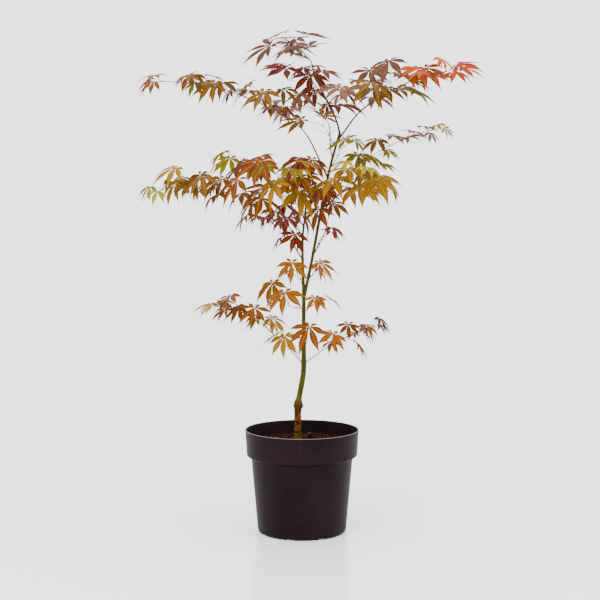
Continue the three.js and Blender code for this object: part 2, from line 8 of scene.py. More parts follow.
import bpy
import numpy as np
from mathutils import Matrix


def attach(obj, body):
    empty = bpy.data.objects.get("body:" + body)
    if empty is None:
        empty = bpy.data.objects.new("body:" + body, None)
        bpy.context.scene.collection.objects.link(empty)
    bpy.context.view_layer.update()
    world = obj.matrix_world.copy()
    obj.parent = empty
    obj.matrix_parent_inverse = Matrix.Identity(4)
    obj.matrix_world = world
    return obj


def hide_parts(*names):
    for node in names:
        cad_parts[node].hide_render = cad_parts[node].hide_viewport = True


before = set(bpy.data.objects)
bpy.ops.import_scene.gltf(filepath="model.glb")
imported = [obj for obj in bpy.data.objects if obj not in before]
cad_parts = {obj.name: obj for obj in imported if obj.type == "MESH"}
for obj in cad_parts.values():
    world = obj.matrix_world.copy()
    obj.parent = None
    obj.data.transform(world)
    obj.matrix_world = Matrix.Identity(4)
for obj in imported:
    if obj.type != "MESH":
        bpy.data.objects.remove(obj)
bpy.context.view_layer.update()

MM = 0.001
UP = np.array([0.0, 0.0, 1.0])

# Pot and soil, as in the part's source.
POT_HEIGHT = 176.5
RIM_RADIUS = 97.5
COLLAR_FOOT = (95, 132.5)
BODY_TOP = (87.2, 129)
BASE_RADIUS = 76.5
BASE_CORNER = 6
WALL = 1.6
FLOOR = 2.2
NOTCH = dict(count=8, width=14, height=4.5, depth=16, radius=74, turn=28)
SOIL_TOP = 151
STUMP = dict(x=13.5, y=-6, radius=4.6, height=20)

# Trunk, as in the part's source.
TRUNK_FOOT = 151.3
TRUNK_TOP = 560
TRUNK_FOOT_X = -7.4
LEANS_X = ((206, 286, 10.4), (400, 470, -2), (500, 560, 5.4))
LEANS_Y = ((413, 560, 8),)
WOOD_RADIUS = 6
FLARE = (1.7, 8)
STEM_RADIUS = 4.8
STEM_THINS = ((236, 400, -1.6), (400, 430, -0.6), (430, 560, -0.9))
BARK_ENDS = (220, 234)
GRAFT = (218, 6.5, 2)
LOW_NODE = (291, 4, 0.6)
BEND_PULL = 0.36

# Twigs and leaves, as in the part's source.
STEM_ROOT = 0.9
STEM_TIP = 0.5
STEM_STEP_IN = 0.05
TWIG_RADII = (0.6, 0.45)
STALK_LENGTH = 0.62
TWIG_LEAF_PLACE = 0.98
TWIG_LEAF_SCALE = 0.92
FIRST_PAIR = 0.04
LAST_PAIR = 0.985
SHRINK = 0.3
LOBES = ((-74, 0.7), (-36, 0.94), (0, 1), (36, 0.94), (74, 0.7))
LOBE_HALF_WIDTH = 0.1
LOBE_RISE = 0.14
SIZE_RANGE = (0.8, 1.2)
STALK_RANGE = (0.7, 1.3)
AHEAD_RANGE = (0.2, 0.8)
LAST_AHEAD = 0.5
LEVEL_OUT = (0.6, 1.1)
LEVEL_UP = (0, 0.6)
UPRIGHT_OUT = (0.2, 0.6)
RAISED_UP = (0.4, 0.9)
LOWERED_UP = (-0.3, 0.3)
HANG_CHANGE = (-18, 22)
BEND_CHANGE = (-14, 20)
ROLL_RANGE = (-22, 22)
TURN_RANGE = (-35, 35)
TWIG_AHEAD = 0.8
TWIG_OUT = (0.6, 1)
TWIG_UP = (-0.2, 0.3)
TWIG_REACH = (0.8, 1.3)
LIMB_CLEAR = 7.5
STALK_CLEAR = 4.5
MASS_CLEAR = 8
BLADE_CLEAR = 5.5
TWIG_CLEAR = 3
TRIES = 6
TRUNK_PROBES = 100
LIMB_PROBES = 40
STEM_PROBES = 20
TWIG_PROBES = 5
LOBE_PROBES = np.array([0.2, 0.4, 0.6, 0.8, 1])
STALK_PROBES = np.array([0.4, 0.7, 1])

# The pot's and the soil's finer forms. Lengths are in millimetres here and below.
POT_COLUMNS = 360
FOOT_RINGS = (24, 48, 62, 64, 66)  # circles under the pot, out to where the notches begin
HIP = 1.2  # rounding where the body turns out under the collar
SHOULDER = dict(back=2.4, up=1.3, round=2.3)  # rounding of the collar's lower edge, and its centre
COLLAR_START = 1.6  # how far above its foot the collar's straight wall begins
LIP = 0.8
FLOOR_RINGS = (64, 40, 16)
NOTCH_SKIN = 1.4  # wall left over a notch
PAINTED_LIP_HIGHLIGHT = (0.9, 0.3)  # how far below the rim the painted highlight on the lip starts, and where it is full
SOIL_RADIUS = 94
SOIL_COLUMNS = 220
SOIL_ROWS = 80
SOIL_UNDER = 133
SOIL_SIDE = ((54, 0), (5, 0), (1.6, 1), (0.6, 9))  # how far in from the edge, and over the underside
SOIL_SINK = 1.4
SOIL_HEAP = (20, 52, 4)  # the soil rises between these distances from the middle, by this much
SOIL_NOISE = ((11, 16, 1.1), (12, 6, 0.9), (13, 2.6, 0.6))  # seed, size and height of its lumps
SOIL_EDGE = 0.05  # share of the radius over which the lumps grow in from the wall
FIELD = 128  # lattice points each way of a noise over the plane
FIELD_SHIFT = 60  # keeps the lattice's numbers above 0
CHIPS = 1500
CHIP_SEED = 8
CHIP = dict(length=(3, 8.5), wide=(1.3, 3.2), deep=(0.6, 1.5), uneven=(0.65, 1.1), lie=(-0.6, 1.3),
            sink=0.9, tilt=0.26, roll=0.4, sides=5, rows=(-0.42, -0.05, 0.4), ends=(-0.5, 0.48))
CHIP_ROOM = dict(wall=5, trunk=9, cane=6)
CHIP_TINTS = ((94, 36, 26), (66, 28, 22), (132, 48, 30), (44, 24, 20), (150, 80, 50))
CHIP_SHARES = (0.26, 0.26, 0.2, 0.2, 0.08)
CANE_SIDES = 28
CANE_PROFILE = ((1, -0.3), (1, 0), (0.97, 0.4), (0.93, 0.9), (0.88, 0.98), (0.8, 1), (0.7, 0.98),
                (0.55, 0.88), (0.3, 0.84))  # shares of its radius and height
CANE_ENDS = (-0.3, 0.83)
CANE_SLANT = (-0.3, 8)  # its slope, and the power that keeps it to the top
CANE_WAVES = ((3, 0.05, 1), (7, 0.02, 0))  # waves round it, their depth and where they start
CANE_EDGE = (0.93, 0.98)  # shares of its height between which the cut's pale edge begins
CANE_PITH = (2.2, 3.1)  # distances from its middle between which the dark pith ends

# The trunk's and the limbs' relief.
TRUNK_SIDES = 48
TRUNK_ROWS = 560
BARK_RINGS = ((158, 0.35), (168, 0.5), (171, 0.35), (181, 0.4), (193, 0.6), (197, 0.4), (206, 0.5))
RING_SPAN = 0.9
RING_WAVER = (0.8, 5, 3)  # height, and lattice points around and along
STEM_NODES = (252, 338, 380, 424, 468, 484, 506, 524, 545)
NODE_RIDGE = (2.2, 0.28)  # span and lift
NODE_WAIST = (3.2, 1.2, 0.12)  # height above the node, span and depth
KNOT_SPAN = 7.5
TRUNK_NOISE = (  # where it lies, seed, depth, and lattice points around and along
    ("knot", 3, 0.75, 5, 50), ("knot", 4, 0.3, 12, 120),
    ("wood", 5, 0.28, 9, 60), ("wood", 6, 0.16, 26, 190), ("stem", 7, 0.05, 8, 150),
)
TAN_FROM = (182, 192)  # heights between which the wood's olive foot gives way to tan
KNOT_FROM = (206, 213)
GREEN_FROM = (219, 230)
YOUNG_FROM = (440, 600)
LIMB_NOISE = ((7, 9, 3), (16, 2.2, 6))  # lattice points around, their spacing along, and the fewest
LEAST_ROWS = 12
LIMB_NODE = (1.6, 0.16)  # span, and lift over radius
COLLAR_SPAN = 2.6
TIP_ROUND = 0.6
LEADER_SKIN = dict(sides=26, step=1.0, relief=(0.05, 0.03))
BOUGH_SKIN = dict(sides=16, step=1.3, relief=(0.05, 0.03))
STEM_SKIN = dict(sides=8, step=2.2, relief=(0.06, 0.04))
TWIG_SKIN = dict(sides=6, step=2.4, relief=(0.06, 0.04), collar=0.25)
LIMB_COLLAR = 0.5  # of the limb's radius
NODE_STEP = 42
NODE_BACK = 6
SPRIG_THIN = 0.72
LIMB_SEED, STEM_SEED, TWIG_SEED, LEAF_SEED, TINT_SEED = 50, 300, 400, 70, 900

# The leaves' finer forms.
BASAL_LOBES = ((-124, 0.3), (124, 0.3))
LOBE_JITTER = dict(azimuth=4, length=0.07, bend=0.2, twist=24)
OUTLINE_SKEW = 0.9  # under 1 the lobe is widest before its middle
OUTLINE_POWER = 1.7
WEB = (0.32, 0.1, 0.17)  # half width over reach where lobes join, and where the web ends
TIP_THINS = (0.5, 0.6)  # the place where a lobe starts to draw out, and by how much
TEETH = 9
TEETH_SPAN = (0.17, 0.88)
TOOTH_OUT = 0.09
TOOTH_IN = -0.06
BASE_ROWS = (0.03, 0.07, 0.11, 0.145)
TIP_ROWS = (0.92, 0.96)
FOLD = 0.22  # how far a lobe's edges rise, of their distance from its rib
PUCKER = 0.025  # relief between the side veins, of a lobe's half width
RIB = 0.35  # how far the rib stands out underneath
BLADE_THICK = 0.3
BLADE_THINS = (0.25, 6)  # share of the thickness at the tip, and how fast the outline adds to it
HEART_ROWS = 2
RIB_EDGE = 0.08  # of a lobe's half width
PUCKER_LINE = 0.5
ACROSS = np.array([-1, -PUCKER_LINE, -RIB_EDGE, RIB_EDGE, PUCKER_LINE, 1])
STALK_SIDES = 6
STALK_ROWS = 9
STALK_CROWD = 1.4  # over 1 the rows crowd towards the foot
STALK_RADII = (0.46, 0.36)
STALK_GROWS = (0.6, 0.4, 55)  # its fixed share, the share that follows the leaf's size, and the common size
STALK_FOOT = (0.35, 1.6)  # lift and span of the swollen foot
STALK_ARCH = 0.05
BUD = dict(length=2.6, radius=0.8, rows=(0.08, 0.9, 6), sides=6, power=0.7)
BUD_OUT = 0.8
TIP_BUD_OUT = 0.35
BUD_UP = 0.2
SPRIG_SEED = 500
SPRIG_REACH = 0.42
SPRIG_LEAF = 0.6
SPRIG_TEETH = 6
PIECE_LEAVES = 60
BLADE_GLOSS, VEIN_GLOSS = 0.52, 0.5
TINT_SHIFT = 0.55  # how far a leaf's tint may stray from its place

# Light, camera and colour. Places are in metres.
COLOUR_GAIN = 0.52
COLOUR_POWER = 1.4
WORLD_LIGHT = 2.8
LAMPS = (  # name, size, power, place and aim
    ("key", 1.4, 55, (-1.1, -1.9, 2.0), (0, 0, 0.5)),
    ("fill", 1.6, 16, (1.9, -1.0, 1.2), (0, 0, 0.45)),
)
FLOOR_REACH = 9
FLOOR_SIDES = 48
CAMERA_PLACE = (-0.0034, -2.195, 0.56)
CAMERA_DIP = 4.2  # degrees below level
LENS, SENSOR = 77.4, 36

TINTS = {  # a leaf's and its veins', as they look in soft light, 0 to 255
    "lemon": ((182, 172, 0), (200, 194, 30)), "golden": ((198, 156, 6), (226, 194, 56)),
    "amber": ((178, 138, 14), (218, 180, 50)), "olive": ((146, 128, 10), (182, 182, 44)),
    "orange": ((174, 114, 4), (216, 168, 50)), "rust": ((152, 92, 18), (202, 150, 50)),
    "fire": ((222, 98, 48), (240, 146, 70)), "crimson": ((150, 46, 46), (202, 104, 56)),
    "maroon": ((132, 66, 38), (186, 116, 50)), "mauve": ((194, 160, 146), (214, 172, 136)),
    "plum": ((170, 126, 110), (198, 146, 94)), "umber": ((148, 110, 32), (198, 156, 70)),
    "ember": ((198, 104, 46), (236, 150, 64)),
}


def trunk_place(z):
    """The trunk's place, from 0 to 1, at a height."""
    return (z - TRUNK_FOOT) / (TRUNK_TOP - TRUNK_FOOT)


# Each limb: its parent and place on it, the heading it leaves by, its end and heading there, and its radii.
LIMBS = (
    ("right_leader", "trunk", trunk_place(403), (-12, 76), (63.4, -6, 680), (0, 72), (2.8, 2.1)),
    ("bough_top", "right_leader", 1, (125, 76), (17, 25, 800), (110, 66), (1.7, 1.15)),
    ("bough_upper_right", "right_leader", 0.965, (-10, 48), (104, -22, 722), (-20, 34), (1.6, 1.2)),
    ("bough_upper_left", "right_leader", 0.74, (150, 58), (-22, 38, 708), (166, 30), (1.5, 1)),
    ("bough_mid_right", "right_leader", 0.7, (15, 20), (92, 26, 630), (30, 26), (1.05, 0.75)),
    ("bough_mid_left", "trunk", trunk_place(468), (200, 56), (-62, -20, 548), (202, 34), (1.35, 0.9)),
    ("bough_inner_left", "trunk", trunk_place(524), (150, 45), (-40, 30, 584), (140, 46), (0.95, 0.75)),
    ("bough_small_right", "right_leader", 0.25, (-40, 50), (43, -22, 532), (-20, 76), (1, 0.7)),
    ("bough_front_left", "trunk", trunk_place(506), (-130, 46), (-20, -52, 566), (-110, 40), (1.1, 0.8)),
    ("bough_front_right", "right_leader", 0.5, (-70, 30), (64, -62, 580), (-50, 30), (1.1, 0.8)),
    ("bough_back_right", "right_leader", 0.45, (70, 30), (60, 74, 576), (55, 26), (1.1, 0.8)),
    ("bough_back_left", "trunk", trunk_place(482), (120, 34), (-20, 60, 520), (118, 20), (1.1, 0.8)),
    ("bough_back_upper", "right_leader", 0.86, (105, 35), (44, 72, 706), (105, 24), (1.2, 0.8)),
    ("bough_low_left", "trunk", trunk_place(290), (195, 40), (-33, -9, 327), (198, 42), (0.95, 0.7)),
    ("bough_low_right", "trunk", trunk_place(290), (-5, 32), (44, 4, 318), (8, 32), (0.95, 0.7)),
)


def mass(name, to, arrive, seed, leaf, hang, bend, tints, **growth):
    """A mass of leaves: its stem's end and heading there, its leaves, and its tints to the tip.

    It goes on from the tip of its own bough, unless growth names another limb and a place on it.
    """
    rule = dict(at=1, leave=None, pairs=1, side=0, reach=0, first=FIRST_PAIR, stalk=STALK_LENGTH)
    rule.update(name=name, limb="bough_" + name, to=to, arrive=arrive, seed=seed, leaf=leaf, hang=hang)
    rule.update(bend=bend, tints=tints.split(), **growth)
    return rule


MASSES = (
    mass("front_left", (-30, -132, 614), (-115, 8), 21, 64, 30, 50,
         "rust amber olive", pairs=3, side=1, reach=34),
    mass("front_right", (96, -122, 614), (-35, 8), 4, 62, 30, 48,
         "amber olive lemon", pairs=3, side=1, reach=34),
    mass("mid_left", (-233, -52, 585), (199, -17), 97, 59, 38, 55,
         "rust orange umber amber lemon", pairs=5, side=1, reach=40),
    mass("inner_left", (-106, 54, 634), (165, 16), 110, 58, 24, 45,
         "rust orange lemon", pairs=3, side=1, reach=34),
    mass("top", (-7, 26, 823), (122, 52), 49, 61, 17, 26,
         "mauve plum mauve", pairs=2, side=1, reach=48, first=0.3),
    mass("upper_left", (-245, 80, 775), (169, -1), 131, 59, 21, 42,
         "umber maroon umber olive orange", pairs=5, side=1, reach=34),
    mass("upper_right", (234, -67, 777), (-21, 9), 165, 66, 13, 38,
         "umber plum olive ember fire fire", pairs=4, side=1, reach=36),
    mass("mid_right", (230, 82, 692), (18, 14), 130, 52, 22, 35,
         "olive umber plum lemon", pairs=4),
    mass("low_left", (-141, -42, 391), (194, 4), 35, 51, 35, 29,
         "amber amber rust rust golden", pairs=5),
    mass("low_right", (120, 14, 350), (5, 16), 125, 46, 34, 36,
         "orange rust rust maroon", pairs=4),
    mass("heart", (13, 8, 602), (-56, 67), 22, 52, 39, 50,
         "maroon rust", limb="trunk", pairs=2, first=0.3),
    mass("small_right", (52, -26, 566), (-24, 61), 49, 45, 32, 42,
         "rust maroon", pairs=2, first=0.3),
    mass("back_right", (121, 149, 601), (62, 14), 55, 58, 34, 49,
         "rust orange umber", pairs=2, side=1, reach=34, first=0.35),
    mass("back_left", (-54, 149, 549), (108, 20), 71, 59, 27, 53,
         "maroon crimson rust", pairs=2, side=1, reach=34, first=0.35),
    mass("back_upper", (-11, 155, 738), (139, -5), 103, 60, 15, 48,
         "plum maroon mauve", pairs=2, side=1, reach=34, first=0.35),
    mass("collar_left", (-14, -12, 498), (221, 25), 9, 41, 35, 39,
         "maroon", limb="trunk", at=trunk_place(486), leave=(215, 30), stalk=0.7),
    mass("collar_right", (36, -10, 506), (-5, 22), 106, 43, 30, 40,
         "crimson", limb="right_leader", at=0.27, leave=(-5, 30), stalk=0.7),
    mass("ring_left", (-6, -9, 441), (191, 36), 120, 42, 39, 37,
         "rust orange", limb="trunk", at=trunk_place(424), leave=(190, 35), stalk=0.7),
    mass("ring_right", (17, -10, 442), (-10, 29), 48, 41, 44, 35,
         "orange", limb="right_leader", at=0.1, leave=(-20, 35), stalk=0.7),
    mass("band_left", (-22, -11, 391), (195, 39), 17, 53, 41, 40,
         "rust orange", limb="trunk", at=trunk_place(382), leave=(190, 35), stalk=0.7),
    mass("band_right", (22, -12, 394), (-20, 25), 13, 44, 40, 36,
         "orange", limb="trunk", at=trunk_place(378), leave=(-20, 35), stalk=0.7),
    mass("crown_left", (0, 3, 778), (173, 6), 27, 56, 23, 18,
         "plum maroon crimson", limb="bough_top", at=0.5, leave=(176, 34), pairs=2, first=0.4),
    mass("crown_right", (93, 11, 763), (12, 22), 123, 53, 9, 28,
         "umber plum", limb="bough_top", at=0.35, leave=(5, 38), pairs=2, first=0.4),
    mass("crown_fork", (35, -37, 691), (-134, 20), 148, 57, -2, 27,
         "plum umber", limb="right_leader", at=0.93, leave=(-150, 34)),
    mass("leader_right", (70, -37, 657), (-52, 18), 8, 45, 28, 19,
         "lemon olive", limb="right_leader", at=0.8, leave=(-35, 34)),
    mass("node_right", (14, -33, 345), (-35, 19), 34, 50, 45, 28,
         "rust", limb="trunk", at=trunk_place(320), leave=(-20, 35), stalk=0.7),
)
LEAF_GROUPS = {
    "leaves_orange": "front_left inner_left upper_left low_right ring_left ring_right band_left band_right "
                     "node_right",
    "leaves_olive": "front_right leader_right",
    "leaves_golden": "mid_left low_left",
    "leaves_mauve": "top mid_right back_right back_upper crown_right crown_fork",
    "leaves_crimson": "upper_right heart small_right back_left collar_left collar_right crown_left",
}


# ---------------------------------------------------------------- lines and the growth rule

def ease(low, high, x):
    """A smooth step: 3u^2 - 2u^3, with u going from 0 at low to 1 at high."""
    u = np.clip((x - low) / (high - low), 0, 1)
    return u * u * (3 - 2 * u)


def shifted(shifts, x):
    """The sum of smooth shifts, each between two heights."""
    return sum(amount * ease(low, high, x) for low, high, amount in shifts)


def swelling(x, place, width, swell):
    """A rounded swelling: swell times e to the minus square of the distance over the width."""
    return swell * np.exp(-(((x - place) / width) ** 2))


def unit(v):
    """The vector or vectors at length 1."""
    return v / np.sqrt((v * v).sum(-1, keepdims=True))


def heading(azimuth, pitch):
    """The direction at an azimuth and a pitch."""
    turn, rise = math.radians(azimuth), math.radians(pitch)
    return np.array([math.cos(turn) * math.cos(rise), math.sin(turn) * math.cos(rise), math.sin(rise)])


def turned(v, axis, degrees):
    """The vector turned about an axis, by Rodrigues' rule."""
    turn = math.radians(degrees)
    return v * math.cos(turn) + np.cross(axis, v) * math.sin(turn) + axis * (axis @ v) * (1 - math.cos(turn))


class Line:
    """A line with places from 0 to 1. Its headings are taken between two places a little apart."""

    def along(self, t):
        t = np.asarray(t, float)
        return unit(self.at(np.minimum(t + 1e-4, 1)) - self.at(np.maximum(t - 1e-4, 0)))

    def length(self):
        return np.linalg.norm(np.diff(self.at(np.linspace(0, 1, 201)), axis=0), axis=1).sum()


class TrunkLine(Line):
    """Upright wood, a lean across the graft, and the left stem of the fork."""

    def at(self, t):
        z = TRUNK_FOOT + (TRUNK_TOP - TRUNK_FOOT) * np.asarray(t, float)
        return np.stack([TRUNK_FOOT_X + shifted(LEANS_X, z), shifted(LEANS_Y, z), z], -1)


class BentLine(Line):
    """A cubic from one point to another that leaves and arrives along given headings."""

    def __init__(self, start, leave, end, arrive):
        end = np.asarray(end, float)
        pull = BEND_PULL * np.linalg.norm(end - start)
        self.corners = start, start + leave * pull, end - arrive * pull, end

    def at(self, t):
        t = np.asarray(t, float)[..., None]
        a, b, c, d = self.corners
        s = 1 - t
        return a * s**3 + 3 * b * s * s * t + 3 * c * s * t * t + d * t**3


def trunk_radius(t):
    """Flared wood up to the graft's knot, then a stem that thins at each node."""
    z = TRUNK_FOOT + (TRUNK_TOP - TRUNK_FOOT) * t
    wood = WOOD_RADIUS + FLARE[0] * np.exp(-(z - TRUNK_FOOT) / FLARE[1])
    stem = STEM_RADIUS + shifted(STEM_THINS, z)
    green = ease(*BARK_ENDS, z)
    return wood * (1 - green) + stem * green + swelling(z, *GRAFT) + swelling(z, *LOW_NODE)


def seeded(seed):
    """A repeatable source of numbers between two bounds."""
    state = (seed * 2654435761) & 0xFFFFFFFF

    def draw(low=0.0, high=1.0):
        nonlocal state
        state = (state * 1664525 + 1013904223) & 0xFFFFFFFF
        return low + (high - low) * state / 4294967296

    draw()
    return draw


def sides_of(along):
    """The level direction to the left of a line, and the direction above the line square to both."""
    left = unit(np.array([-along[1], along[0], 0.0]))
    return left, np.cross(along, left)


def make_leaf(foot, direction, stalk, size, hang, bend, roll, turn):
    """A leaf held out by its stalk: turned, tipped down, and rolled about its own middle line."""
    level = turned(unit(np.array([direction[0], direction[1], 0.0])), UP, turn)
    side = np.cross(level, UP)
    forward = turned(level, side, -hang)
    normal = np.cross(side, forward)
    return dict(foot=foot, hub=foot + direction * stalk, size=size, bend=bend, forward=forward,
                right=turned(side, forward, roll), normal=turned(normal, forward, roll))


def arc(leaf_size, bend, length, place):
    """Reach and height along a lobe's drooping arc: it rises by LOBE_RISE and turns down evenly."""
    scale = leaf_size * length / bend
    slope = LOBE_RISE - bend * place
    return scale * (np.sin(LOBE_RISE) - np.sin(slope)), scale * (np.cos(slope) - np.cos(LOBE_RISE)), slope


def probes_of(leaf):
    """Points along a leaf's lobes, and along its stalk."""
    azimuth, length = np.array(LOBES, float).T
    turn = np.radians(azimuth)[:, None]
    reach, height, _ = arc(leaf["size"], math.radians(leaf["bend"]), length[:, None], LOBE_PROBES)
    points = leaf["hub"] + (reach * np.cos(turn))[..., None] * leaf["forward"]
    points = points + (reach * np.sin(turn))[..., None] * leaf["right"] + height[..., None] * leaf["normal"]
    places = STALK_PROBES[:, None]
    return points.reshape(-1, 3), leaf["foot"] * (1 - places) + leaf["hub"] * places


def is_clear(points, others, distance):
    """Whether every point is farther than a distance from every other point of a set."""
    if len(others) == 0:
        return True
    apart = np.asarray(points)[:, None] - np.asarray(others)[None]
    return (apart**2).sum(-1).min() > distance**2


def draw_leaf(rule, draw, line, place, scale, level, last, hand):
    """Draws a leaf at a place on a stem or twig: held level to one side, or turned up or forward."""
    along = line.along(place)
    left, above = sides_of(along)
    size = rule["leaf"] * scale * draw(*SIZE_RANGE)
    stalk = size * rule["stalk"] * draw(*STALK_RANGE)
    ahead = draw(*AHEAD_RANGE) + (LAST_AHEAD if last else 0)
    out = hand * draw(*(LEVEL_OUT if level else UPRIGHT_OUT))
    up = draw(*(LEVEL_UP if level else RAISED_UP if hand > 0 else LOWERED_UP))
    direction = unit(along * ahead + left * out + above * up)
    hang = rule["hang"] + draw(*HANG_CHANGE)
    bend = rule["bend"] + draw(*BEND_CHANGE)
    roll, turn = draw(*ROLL_RANGE), draw(*TURN_RANGE)
    return make_leaf(line.at(place), direction, stalk, size, hang, bend, roll, turn)


class Mass:
    """A mass as it grows: a stem with opposite pairs of leaves, side twigs, and later its fine sprigs."""

    def __init__(self, rule, lines, limb_points, taken):
        self.rule, self.limb_points, self.taken = rule, limb_points, taken
        limb = lines[rule["limb"]]
        leave = heading(*rule["leave"]) if rule["leave"] else limb.along(1)
        self.stem = BentLine(limb.at(rule["at"]), leave, rule["to"], heading(*rule["arrive"]))
        self.draw = seeded(rule["seed"])
        self.twigs, self.leaves, self.blades = [], [], []
        self.wood = list(self.stem.at(np.arange(STEM_PROBES + 1) / STEM_PROBES))

    def has_room(self, lobes, stalk):
        """Whether a leaf keeps clear of the limbs, the other masses, and this mass's blades and twigs."""
        both = np.vstack([lobes, stalk])
        return (is_clear(lobes, self.limb_points, LIMB_CLEAR)
                and is_clear(stalk, self.limb_points, STALK_CLEAR)
                and is_clear(both, self.taken, MASS_CLEAR)
                and is_clear(lobes, self.blades, BLADE_CLEAR)
                and is_clear(lobes, self.wood, TWIG_CLEAR)
                and is_clear(stalk, self.blades, TWIG_CLEAR))

    def grow_pair(self, place_on_stem, line, place, scale, level, last, fine=False):
        """A leaf to each side of a line, drawn again while it finds no room, and skipped in the end."""
        for hand in (-1, 1):
            for _ in range(TRIES):
                leaf = draw_leaf(self.rule, self.draw, line, place, scale, level, last, hand)
                lobes, stalk = probes_of(leaf)
                if fine and not self.within_reach(lobes):
                    continue
                if self.has_room(lobes, stalk):
                    self.leaves.append(dict(leaf, fine=fine, place=place_on_stem))
                    self.blades.extend(lobes)
                    self.wood.extend(stalk)
                    break

    def grow_twig(self, place, hand, reach, scale, fine=False):
        """A side twig with a pair of leaves, skipped where it would run into something."""
        along = self.stem.along(place)
        left, above = sides_of(along)
        direction = along * TWIG_AHEAD + left * (hand * self.draw(*TWIG_OUT))
        direction = unit(direction + above * self.draw(*TWIG_UP))
        foot = self.stem.at(place)
        twig = BentLine(foot, direction, foot + direction * reach * self.draw(*TWIG_REACH), direction)
        probes = twig.at(np.arange(1, TWIG_PROBES + 1) / TWIG_PROBES)
        if not (is_clear(probes[1:], self.limb_points, STALK_CLEAR)
                and is_clear(probes, self.taken, MASS_CLEAR)):
            return
        if fine and not is_clear(probes[1:], self.blades, TWIG_CLEAR):
            return
        self.wood.extend(probes)
        self.twigs.append(dict(line=twig, fine=fine))
        self.grow_pair(place, twig, TWIG_LEAF_PLACE, scale, True, True, fine)

    def grow(self):
        """The source's own growth."""
        rule = self.rule
        pairs, first = rule["pairs"], rule["first"]
        for k in range(pairs):
            place = first + (LAST_PAIR - first) * k / (pairs - 1) if pairs > 1 else LAST_PAIR
            scale = 1 - SHRINK * place if pairs > 2 else 1
            self.grow_pair(place, self.stem, place, scale, k % 2 == 0, k == pairs - 1)
            if k < rule["side"]:
                for hand in (-1, 1):
                    self.grow_twig(place, hand, rule["reach"], TWIG_LEAF_SCALE)
        self.box = np.min(self.blades, axis=0), np.max(self.blades, axis=0)

    def within_reach(self, points):
        """Whether points lie in the box that the source's leaves fill."""
        return (points >= self.box[0]).all() and (points <= self.box[1]).all()

    def grow_on(self):
        """Finer twigs between the pairs, each with a pair of small leaves, inside the mass's own reach."""
        rule = self.rule
        self.draw = seeded(rule["seed"] + SPRIG_SEED)
        steps = rule["pairs"]
        for k in range(steps):
            place = rule["first"] + (LAST_PAIR - rule["first"]) * (k + 0.5) / steps
            for hand in (-1, 1):
                self.grow_twig(place, hand, rule["leaf"] * SPRIG_REACH, SPRIG_LEAF, fine=True)

    def probes(self):
        """All points that others keep clear of."""
        return self.wood + self.blades


def grow_plant():
    """The lines of the limbs, and the masses: the source's growth for all of them first, then the sprigs."""
    lines = {"trunk": TrunkLine()}
    for name, on, at, leave, to, arrive, _ in LIMBS:
        lines[name] = BentLine(lines[on].at(at), heading(*leave), to, heading(*arrive))
    counts = {name: TRUNK_PROBES if name == "trunk" else LIMB_PROBES for name in lines}
    limb_points = np.vstack([lines[name].at(np.arange(n + 1) / n) for name, n in counts.items()])
    masses, taken = [], []
    for rule in MASSES:
        one = Mass(rule, lines, limb_points, list(taken))
        one.grow()
        taken += one.probes()
        masses.append(one)
    for one in masses:
        one.taken = [p for other in masses if other is not one for p in other.probes()]
        one.grow_on()
    return lines, masses


# ---------------------------------------------------------------- surfaces

def shells(rows, poles, finish=0):
    """Closed shells: rings shaped (shells, rows, sides, 3) between two poles shaped (shells, 2, 3).

    Rings run anticlockwise about the way from the first pole to the second, so faces point outwards. finish
    is the number of each face's material, for one shell or for all.
    """
    count, depth, sides, _ = rows.shape
    corners = np.concatenate([poles[:, :1], rows.reshape(count, -1, 3), poles[:, 1:]], 1)
    ring = np.arange(sides)
    after = (ring + 1) % sides
    low = (1 + np.arange(depth - 1) * sides)[:, None]
    walls = np.stack([low + ring, low + after, low + sides + after, low + sides + ring], -1).reshape(-1, 4)
    top = 1 + (depth - 1) * sides
    first = np.stack([np.zeros(sides, int), 1 + after, 1 + ring], -1)
    last = np.stack([np.full(sides, corners.shape[1] - 1), top + ring, top + after], -1)
    sizes = np.concatenate([np.full(sides, 3), np.full(len(walls), 4), np.full(sides, 3)])
    loops = np.concatenate([first.ravel(), walls.ravel(), last.ravel()])
    shift = np.arange(count) * corners.shape[1]
    finish = np.broadcast_to(finish, (count, len(sizes)))
    return (corners.reshape(-1, 3), (loops + shift[:, None]).ravel(), np.tile(sizes, count), finish.ravel())


def make_piece(name, parts, materials, replaced, sharp=60):
    """One mesh from several sets of shells, in metres, that rides on the plant and stands for CAD nodes.

    Edges that turn by more than sharp, in degrees, stay crisp.
    """
    corners, loops, sizes, finishes = zip(*parts)
    shifts = np.cumsum([0, *map(len, corners)])
    loops = np.concatenate([loop + shift for loop, shift in zip(loops, shifts)])
    corners, sizes = np.vstack(corners) * MM, np.concatenate(sizes)
    mesh = bpy.data.meshes.new(name)
    mesh.vertices.add(len(corners))
    mesh.vertices.foreach_set("co", corners.astype(np.float32).ravel())
    mesh.loops.add(len(loops))
    mesh.loops.foreach_set("vertex_index", loops.astype(np.int32))
    mesh.polygons.add(len(sizes))
    mesh.polygons.foreach_set("loop_start", np.concatenate([[0], np.cumsum(sizes)[:-1]]).astype(np.int32))
    for material in materials:
        mesh.materials.append(material)
    mesh.polygons.foreach_set("material_index", np.concatenate(finishes).astype(np.int32))
    mesh.update(calc_edges=True)
    mesh.shade_smooth()
    mesh.set_sharp_from_angle(angle=math.radians(sharp))
    piece = bpy.data.objects.new(name, mesh)
    bpy.context.scene.collection.objects.link(piece)
    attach(piece, "root")
    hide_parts(*replaced)


def mixed(values, i, after, j, a, b):
    """Values between four corners of a lattice, a of the way from i to after and b of the way past j."""
    near = values[i, j] * (1 - b) + values[i, j + 1] * b
    far = values[after, j] * (1 - b) + values[after, j + 1] * b
    return near * (1 - a) + far * a


